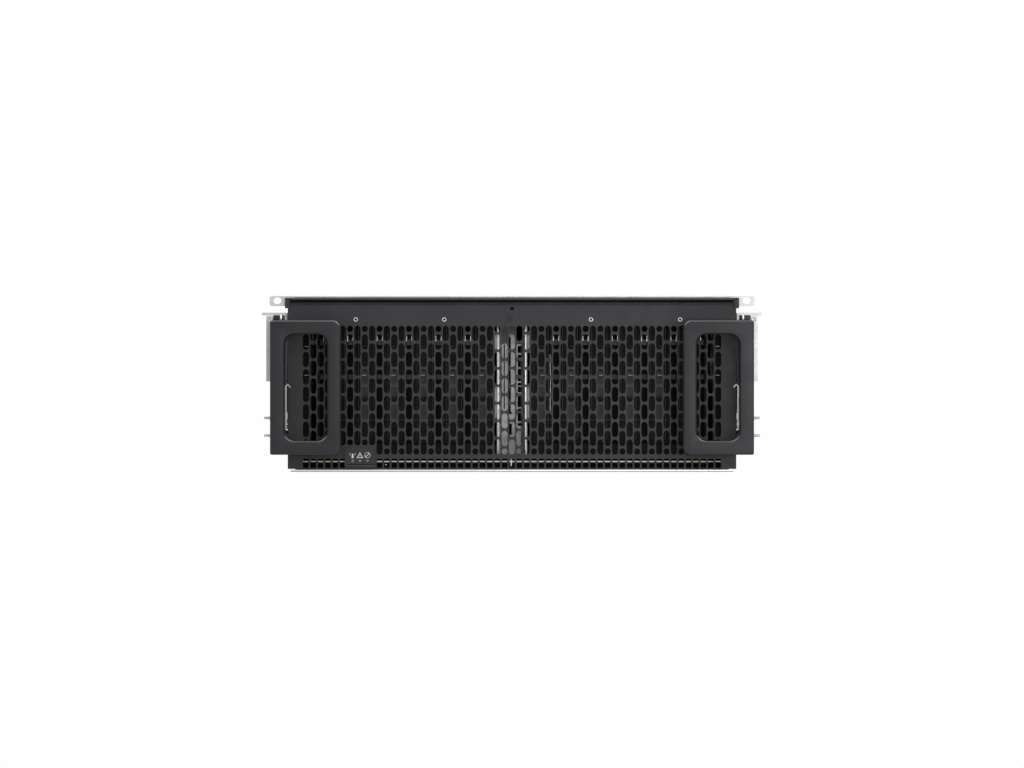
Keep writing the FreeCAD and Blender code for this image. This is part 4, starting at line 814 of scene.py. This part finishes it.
# the head's paint is lightened to offset the header's shadow: painted light
head = [(-11.5, 129.0), (-3.4, 129.0), (-3.4, 137.0), (3.3, 137.0), (3.3, FRONT_TOP), (-11.5, FRONT_TOP)]
hand_over(punched_sheet("baffle_head", [head], BAFFLE - 2.8, BAFFLE - 1.6), "baffle paint")
ladder = [soft_box(3.2, 9.4, CHANNEL_FOOT, 127.0, 0.5)]
ladder += [soft_box(5.8, 8.9, low, high, 0.4) for low, high in WINDOWS]
hand_over(punched_sheet("baffle_ladder", ladder, BAFFLE - 0.6, BAFFLE + 0.4), "zinc sheet")
print("channel walls start at", round(WALL_FRONT, 2), "and the baffle at", round(BAFFLE, 2))

# %% [markdown]
# ## Carrier tops
# With the cover slid back, the sixty carriers are what one sees: each has a flat pull lever with a finger
# hollow, a hinge barrel at its rear and a coloured touch point. One lever of few faces is modelled and
# copied, a row at a time.

# %% Pull levers on the carriers
ROW_STEP, LEVER_HALF = 117.0, 11.0
TOP = carrier_high[2]
columns = half + [(2 * BAY_START + PITCH * (step + 1), 0, 0) for step in range(COLUMNS)]
middle = BAY + PITCH / 2
lever = block("lever", (middle - LEVER_HALF, FRONT + 8.0, TOP - 0.2),
              (middle + LEVER_HALF, FRONT + 96.0, TOP + 0.9))
sink(lever, TOP_FACE, 3.2, 0.7, slope=0.4)
barrel = disc("barrel", (middle, FRONT + 99.0, TOP + 0.1), 1.3, 2 * LEVER_HALF, axis="X", sides=10)
lever_row = repeated("levers_1", bevelled(joined("lever", [lever, barrel]), 0.25, 1), columns)
touch = bar("touch", (middle - 6.0, FRONT + 9.2, TOP + 0.3), (middle + 6.0, FRONT + 15.0, TOP + 1.1), 0.3, 1)
touch_row = repeated("touch_points_1", touch, columns)
dressed_rows = ((lever_row, "levers", "carrier front"), (touch_row, "touch_points", "latch red"))
for row in range(1, 5):
    for first, title, look in dressed_rows:
        hand_over(settle(twin_of(first, (0, ROW_STEP * row, 0)), f"{title}_{row + 1}"), look)
for first, title, look in dressed_rows:
    hand_over(first, look)
print("levers on five rows,", len(lever_row.data.polygons), "faces each")

# %% [markdown]
# ## Rails and brackets
# Pale steel shows beside the handles: two round pegs and a locating stud on each bracket, bolts that clamp
# the bracket to its rail, and rivets along the slide. Dark blocks of painted shade close the view past the
# bracket and the trigger's catch. What is made on the right is mirrored to the left, and each side goes to
# its own body.

# %% Pegs, studs and rail bolts
PLATE, PEG_Y, PEG_SIDES = 225.28, 17.0, 16


def peg(z):
    """A turned peg with a collar and a domed end."""
    shank = disc("peg", (242.9, PEG_Y, z), 1.35, 7.0, axis="X", sides=PEG_SIDES)
    return joined("peg", [shank, disc("collar", (240.2, PEG_Y, z), 2.3, 1.5, axis="X", sides=PEG_SIDES)])


def socket_bolt(x, y, z, radius=4.2, height=2.2):
    """A button-head bolt on a side face, with a sunk socket."""
    return hollow_head("bolt", (x + height / 2, y, z), radius, height, SIDE_FACE, radius * 0.5, height * 0.6,
                       0.35, slope=0.05, axis="X", sides=24)


pegs = bevelled(joined("bracket_pegs", [peg(35.8), peg(53.3)]), 0.4, 3)
side_pieces(pegs, "outer", "rail zinc")
stud = hollow_head("locating_stud", (239.8, 1.5, 150.9), 2.5, 2.2, FRONT_FACE, 0.9, 0.5, 0.3)
side_pieces(stud, "outer", "bright zinc")
# a dark block of painted shade beside the bracket's top
side_pieces(bar("bracket_shade_block", (225.4, -0.9, 149.3), (236.6, 2.4, 155.2), 0.5), "outer", "bezel plastic")
side_pieces(bar("bracket_tab", (228.3, -1.5, 150.4), (230.0, -0.8, 155.6), 0.2), "outer", "cut edge")
# dark blocks of painted shade past the trigger's catch
shade_blocks = [((222.3, 0.6, 34.0), (228.0, 2.6, 41.2)), ((221.9, 12.4, 50.0), (223.28, 14.1, 62.0))]
side_pieces(bars("catch_shade_blocks", shade_blocks, 0.3), "outer", "bezel plastic")
for name, places in (("bracket_bolts", ((60, 66), (60, 94), (112, 66), (112, 94))),
                     ("rear_bracket_bolts", ((570, 80), (620, 80), (690, 66), (690, 94)))):
    side_pieces(joined(name, [socket_bolt(PLATE, y, z) for y, z in places]), "outer", "rail zinc")
rail_rivet = bevelled(disc("rail_rivet", (223.6, 150.0, 80.0), 3.4, 0.9, axis="X", sides=18), 0.35)
rivet_row = repeated("rail_rivets", rail_rivet, [(0, 60 * step, 0) for step in range(1, 7)])
side_pieces(rivet_row, "outer", "bright zinc")
beads = [((223.2, 140.0, z), (223.75, 540.0, z + 3.0)) for z in (96.0, 61.0)]
side_pieces(bars("rail_beads", beads, 0.25), "outer", "rail zinc")
print("rail hardware on both sides")

# %% [markdown]
# ## Handles with softened edges
# The solid handles have sharp edges, and the real ones are cast and rounded, with a bright line where the
# edge turns to the light. A copy of the solid's mesh is merged, its flat triangles are dissolved, and a
# bevel rounds what stays sharp. The copy then stands for the solid.

# %% Rounded handles
def softened(node, name, width, segments=3):
    """A copy of a solid's mesh with its edges rounded, at the solid's place."""
    piece = block(name, (0, 0, 0), (1, 1, 1))
    piece.data = nodes[node].data.copy()
    piece.data.name = name
    edit_all(piece)
    bpy.ops.mesh.remove_doubles(threshold=0.000005)
    bpy.ops.mesh.dissolve_limited(angle_limit=math.radians(1.0))
    leave_edit()
    return bevelled(piece, width, segments)


for side in ("left", "right"):
    grip = softened(f"{side}_handle", f"{side}_cast_handle", 1.1)
    # the handle paint gives the rounded edges that look up and forward a painted highlight
    hand_over(grip, "handle paint")
    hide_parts(f"{side}_handle")
    print(grip.name, len(grip.data.polygons), "faces")

# %% [markdown]
# ## Cover and side walls
# A sheet cover this long is stiffened by pressed beads. They go down, not up, so a copy of the cover's mesh
# is cut along each bead's sides, and the strips between are inset and lowered by less than the sheet's
# thickness. Low screws hold the skirts, and the side walls carry press studs that clamp the inner slide
# members.

# %% Pressed cover and screws
BEAD_X, BEAD_HALF, BEAD_Y = (-165.0, -82.5, 0.0, 82.5, 165.0), 8.0, (90.0, 720.0)
SIDE_LINE, SKIRT_FASTENER_Z, STUD_STEP = 60.0, 168.0, 120
cover_high = corners("cover_sheet")[1]
pressed = softened("cover_sheet", "pressed_cover", 0.2, 1)
cuts = [((x + side * BEAD_HALF, 0.0, 0.0), (1.0, 0.0, 0.0)) for x in BEAD_X for side in (-1, 1)]
cuts += [((0.0, y, 0.0), (0.0, 1.0, 0.0)) for y in BEAD_Y]
for place, normal in cuts:
    edit_all(pressed)
    bpy.ops.mesh.bisect(plane_co=[value * MM for value in place], plane_no=normal)
    leave_edit()


def on_a_bead(normal, centre):
    """Faces of the cover's top that lie between a bead's sides."""
    near = min(abs(centre.x - x) for x in BEAD_X)
    on_top = normal.z > 0.9 and centre.z > cover_high[2] - 0.2
    return on_top and near < BEAD_HALF and BEAD_Y[0] < centre.y < BEAD_Y[1]


choose(pressed, on_a_bead)
bpy.ops.mesh.inset(thickness=2.0 * MM, depth=-0.9 * MM)
leave_edit()
hand_over(pressed, "bright zinc", "cover", smooth=20.0)
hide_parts("cover_sheet")
skirt_screw = socket_bolt(cover_high[0] - 0.1, SIDE_LINE, SKIRT_FASTENER_Z, 2.6, 0.8)
skirt_screws = repeated("skirt_screws", skirt_screw, [(0, 140 * step, 0) for step in range(1, 6)])
hand_over(mirrored(skirt_screws), "rail zinc", "cover")
deck_top = corners("rear_deck")[1][2]
deck_screw = hollow_head("deck_screw", (-180.0, 822.0, deck_top - 0.1), 3.4, 0.7, TOP_FACE, 1.87, 0.4, 0.15,
                         slope=0.02, axis="Z")
hand_over(repeated("deck_screws", deck_screw, [(90 * step, 0, 0) for step in range(1, 5)]), "rail zinc")
wall_stud = bevelled(disc("wall_stud", (215.3, SIDE_LINE, 130.0), 3.0, 0.9, axis="X", sides=18), 0.3)
stud_steps = [(0, STUD_STEP * step, dz) for dz in (0, -106) for step in range(7) if step or dz]
hand_over(mirrored(repeated("wall_studs", wall_stud, stud_steps)), "rail zinc")
print("cover:", len(pressed.data.polygons), "faces")

# %% [markdown]
# ## Power supplies
# Each supply's face has a pierced plate over its fan vents, a mains inlet with three blades, a small lamp
# and a ribbed latch. The pierced plate is the same filled curve as the front sheet, with hexagon holes this
# time.

# %% Supply faces
BACK = 840.0  # rear face of the modules
INLET_FLOOR = 826.1  # bottom of the inlet's pocket


def pierced_plate(name, x_low, x_high, z_low, z_high, pitch, radius, thick=0.7):
    """A thin plate of close hexagon holes that stands on the modules' rear face."""
    outlines = [soft_box(x_low, x_high, z_low, z_high, 0.8)]
    column = 0
    x = x_low + pitch
    while x < x_high - pitch * 0.8:
        z = z_low + pitch + (pitch * 0.577 if column % 2 else 0.0)
        while z < z_high - pitch * 0.8:
            outlines.append(ring_points(x, z, radius, 0, 300, 5))
            z += pitch * 1.155
        x += pitch
        column += 1
    return punched_sheet(name, outlines, BACK - 0.05, BACK + thick, edge=0.06)


def inlet_bottom(normal, centre):
    """Faces that close the inlet's rim, at its middle."""
    return abs(normal.y) > 0.9 and 151.0 < centre.x < 178.0 and abs(centre.z - 25.0) < 1.0


side_pieces(pierced_plate("supply_vent", 139.5, 176.0, 42.5, 82.5, 4.2, 1.9), "supply", "module casing")
shade = bar("vent_shade", (140.0, BACK - 0.6, 43.0), (175.5, BACK + 0.02, 82.0), 0.2, 1)
side_pieces(shade, "supply", "deep shadow")
rim = block("inlet_rim", (149.3, BACK - 0.1, 13.8), (179.3, BACK + 1.6, 36.2))
sink(rim, BACK_FACE, 1.1, 1.6)
choose(rim, inlet_bottom)
bpy.ops.mesh.delete(type="FACE")
leave_edit()
modified(rim, "SOLIDIFY", thickness=0.5 * MM, offset=-1.0)
side_pieces(bevelled(rim, 0.3), "supply", "bezel plastic")
tube = [soft_box(150.4, 178.16, 14.87, 35.13, 0.4), soft_box(151.4, 177.16, 15.87, 34.13, 0.4)]
lining = punched_sheet("inlet_lining", tube, INLET_FLOOR, BACK - 0.2, edge=0.1)
bottom = bar("inlet_floor", (150.9, INLET_FLOOR - 0.05, 15.4), (177.6, INLET_FLOOR + 0.8, 34.6), 0.2, 1)
side_pieces(joined("inlet_lining", [lining, bottom]), "supply", "bezel plastic")
blades = [((x - 1.0, INLET_FLOOR + 0.4, z - 2.2), (x + 1.0, 837.0, z + 2.2))
          for x, z in ((157.3, 21.5), (171.3, 21.5), (164.3, 28.5))]
side_pieces(bars("inlet_blades", blades, 0.3, 1), "supply", "rail zinc")
lamp_lens = bevelled(disc("supply_lamp", (186.0, BACK + 0.3, 78.0), 1.4, 1.2, sides=16), 0.3)
side_pieces(lamp_lens, "supply", "lens")
ridges = [((195.4, BACK + 3.0, z), (198.2, BACK + 9.4, z + 1.0)) for z in (73.0, 76.0, 79.0, 82.0)]
side_pieces(bars("latch_ridges", ridges, 0.3, 1), "latch", "latch red")
print("supply faces done")

# %% [markdown]
# ## Input/output modules
# Six cable cages and a service port sit in each module's face. The solids have the shallow pockets, so each
# port gets a bright folded rim, a mouth of painted shade with a contact tongue or pins, and a cage has a pair
# of lamps above it. A dark sheet of painted shade stands behind each vent. Thumb screws hold the module at
# both ends.

# %% Port cages and thumb screws
PORT_STEP, LAMP_STEP, THUMB_APART = 24.0, 7.0, 248.0
PIN_X, PIN_STEP, PIN_WIDE = 85.0, 1.6, 0.6
port_steps = [(PORT_STEP * step, 0, 0) for step in range(1, 6)]
lamp_steps = [(PORT_STEP * step + dx, 0, 0) for step in range(6) for dx in (0, LAMP_STEP) if step or dx]
pin_places = [PIN_X + PIN_STEP * step for step in range(8)]


def rim_of(name, x_low, x_high, z_low, z_high, wall, reach):
    """A thin square tube that rims a port, standing out of the rear face."""
    outlines = [soft_box(x_low, x_high, z_low, z_high, 0.5),
                soft_box(x_low + wall, x_high - wall, z_low + wall, z_high - wall, 0.4)]
    return punched_sheet(name, outlines, BACK - 2.6, BACK + reach, edge=0.1)


for level in ("lower", "upper"):
    body = f"{level}_io"
    base = corners(f"{level}_io_module")[0][2]
    cage = rim_of("cage", -72.4, -54.6, base + 9.6, base + 20.4, 0.9, 1.4)
    hand_over(repeated(f"{level}_port_cages", cage, port_steps), "bright zinc", body, smooth=20.0)
    # the port's mouth is a dark sheet of painted shade
    mouth_shade = bar("mouth_shade", (-71.3, BACK - 3.05, base + 10.7), (-55.7, BACK - 2.2, base + 19.3), 0.2, 1)
    hand_over(repeated(f"{level}_port_mouths", mouth_shade, port_steps), "deep shadow", body)
    tongue = bar("tongue", (-69.0, BACK - 2.4, base + 13.6), (-58.0, BACK - 0.4, base + 15.0), 0.2, 1)
    hand_over(repeated(f"{level}_port_tongues", tongue, port_steps), "contact gold", body)
    dot = bevelled(disc("dot", (-67.0, BACK + 0.2, base + 25.0), 1.0, 0.8, sides=14), 0.2)
    hand_over(repeated(f"{level}_port_lamps", dot, lamp_steps), "lens", body)
    jack = rim_of(f"{level}_service_port", 81.4, 99.6, base + 9.4, base + 23.6, 1.0, 1.2)
    hand_over(jack, "bright zinc", body, smooth=20.0)
    # the service port's mouth is a dark sheet of painted shade
    socket = bar(f"{level}_service_socket", (82.5, BACK - 3.05, base + 10.5),
                 (98.5, BACK - 2.2, base + 22.5), 0.2, 1)
    hand_over(socket, "deep shadow", body)
    pins = [((x, BACK - 2.4, base + 19.6), (x + PIN_WIDE, BACK - 0.6, base + 22.0)) for x in pin_places]
    hand_over(bars(f"{level}_service_pins", pins, 0.1, 1), "contact gold", body)
    knob = hollow_head("thumb_screw", (-THUMB_APART / 2, BACK + 4.0, base + 14.0), 4.6, 8.0,
                       BACK_FACE, 1.6, 1.2, 0.5)
    hand_over(repeated(f"{level}_thumb_screws", knob, [(THUMB_APART, 0, 0)]), "rail zinc", body)
    grid = pierced_plate(f"{level}_vent", -50.0, 50.0, base + 27.5, base + 37.5, 4.0, 1.75)
    hand_over(grid, "module casing", body, smooth=20.0)
    # a dark sheet of painted shade behind the vent
    dark = bar(f"{level}_vent_dark", (-49.4, BACK - 0.6, base + 28.0),
               (49.4, BACK + 0.02, base + 37.0), 0.2, 1)
    hand_over(dark, "deep shadow", body)
print("port cages on both modules")

# %% [markdown]
# ## Fan modules
# Behind each finger guard a rotor turns on its motor. The face gets four captive screws, a cap on the motor
# and a raised ring round its opening, which is a filled outline between two circles.

# %% Fan faces
FAN_Z, FAN_STEP, RING_STEPS = 128.35, 106.89, 47
RING_OUT, RING_IN = 39.3, 37.2
SCREW_OUT, SCREW_UP = 46.5, 35.0  # from the fan's axis to its captive screws
CAP_Y = 818.2
screw_steps = [(2 * SCREW_OUT, 0, 0), (0, 0, -2 * SCREW_UP), (2 * SCREW_OUT, 0, -2 * SCREW_UP)]
for index in range(4):
    body = f"fan_{index + 1}"
    x = (index - 1.5) * FAN_STEP
    circles = [ring_points(x, FAN_Z, radius, 0, 352.5, RING_STEPS) for radius in (RING_OUT, RING_IN)]
    ring = punched_sheet(f"fan_ring_{index + 1}", circles, BACK - 0.2, BACK + 1.0, edge=0.3)
    hand_over(ring, "fan plastic", body)
    captive = hollow_head("captive", (x - SCREW_OUT, BACK + 1.6, FAN_Z + SCREW_UP), 3.6, 3.2,
                          BACK_FACE, 1.5, 1.0, 0.4)
    hand_over(repeated(f"fan_screws_{index + 1}", captive, screw_steps), "rail zinc", body)
    cap = disc(f"motor_cap_{index + 1}", (x, CAP_Y, FAN_Z), 13.0, 1.0, sides=28)
    hand_over(bevelled(cap, 0.3), "module casing", body)
print("fan faces done")

# %% [markdown]
# ## Camera, floor and light
# The photograph looks straight at the front from far away, so the camera is level, long, and scaled by the
# real width of the front. The floor and the world are white to the camera and to reflections. Three soft
# lamps give the plain studio light: the low one in front is a strip below the cover's top, so the cover
# never mirrors it.

# %% Camera
SCALE = 0.000991  # metres per pixel at the front sheet
PICTURE_WIDE, SENSOR, DISTANCE, EYE = 1024, 36.0, 8.0, 0.0870
deselect()
bpy.ops.object.camera_add(location=(0.0, -DISTANCE + FACE * MM, EYE), rotation=(math.pi / 2, 0.0, 0.0))
camera = bpy.context.object
camera.name = "camera"
camera.data.sensor_width = SENSOR
camera.data.lens = SENSOR * DISTANCE / (PICTURE_WIDE * SCALE)
camera.data.clip_end = 60.0
bpy.context.scene.camera = camera
print("lens", round(camera.data.lens, 1), "mm")


# %% Floor, world and lamps
WHITE = (1.0, 1.0, 1.0, 1.0)


def white_where_seen(tree, dim_shader, output, share=1.0):
    """White for the camera and for reflections, up to a share, and another shader for all other light."""
    path = add_node(tree, "ShaderNodeLightPath").outputs
    seen = compute(tree, "MAXIMUM", path["Is Camera Ray"], path["Is Glossy Ray"])
    seen = compute(tree, "MAXIMUM", seen, path["Is Transmission Ray"])
    kind = "ShaderNodeEmission" if output.type == "OUTPUT_MATERIAL" else "ShaderNodeBackground"
    white = add_node(tree, kind, Color=WHITE, Strength=1.0)
    choice = add_node(tree, "ShaderNodeMixShader", Fac=compute(tree, "MULTIPLY", seen, share))
    feed(tree, choice.inputs[1], dim_shader.outputs[0])
    feed(tree, choice.inputs[2], white.outputs[0])
    feed(tree, output.inputs["Surface"], choice.outputs[0])


scene = bpy.context.scene
scene.view_settings.view_transform = "Standard"
world = bpy.data.worlds.new("studio") if scene.world is None else scene.world
scene.world = world
world.use_nodes = True
AMBIENT, FLOOR_SHARE = 0.45, 0.985
ambient = set_node(world.node_tree, world.node_tree.nodes["Background"], Color=WHITE, Strength=AMBIENT)
white_where_seen(world.node_tree, ambient, world.node_tree.nodes["World Output"])

deselect()
bpy.ops.mesh.primitive_plane_add(size=40.0, location=(0.0, 0.0, -0.0002))
floor = bpy.context.object
floor.name = "floor"
floor_material = bpy.data.materials.new("pale floor")
floor_material.use_nodes = True
floor_tree = floor_material.node_tree
floor_shader = set_node(floor_tree, floor_tree.nodes["Principled BSDF"],
                        Base_Color=(0.9, 0.9, 0.9, 1.0), Roughness=0.9)
white_where_seen(floor_tree, floor_shader, floor_tree.nodes["Material Output"], share=FLOOR_SHARE)
floor.data.materials.append(floor_material)


def softbox(name, place, aim, wide, tall, power):
    """A soft lamp that looks at a point."""
    deselect()
    bpy.ops.object.light_add(type="AREA", location=place)
    lamp = bpy.context.object
    lamp.name = name
    lamp.data.shape = "RECTANGLE"
    lamp.data.size = wide
    lamp.data.size_y = tall
    lamp.data.energy = power
    lamp.rotation_euler = (Vector(aim) - Vector(place)).to_track_quat("-Z", "Y").to_euler()


softbox("key lamp", (1.8, -2.8, 2.6), (0.0, 0.2, 0.1), 6.0, 6.0, 52.0)
softbox("fill lamp", (0.7, -1.7, 0.09), (0.0, 0.1, 0.09), 1.4, 0.14, 5.0)
softbox("back lamp", (0.6, 3.6, 2.6), (0.0, 0.6, 0.1), 4.2, 4.2, 30.0)
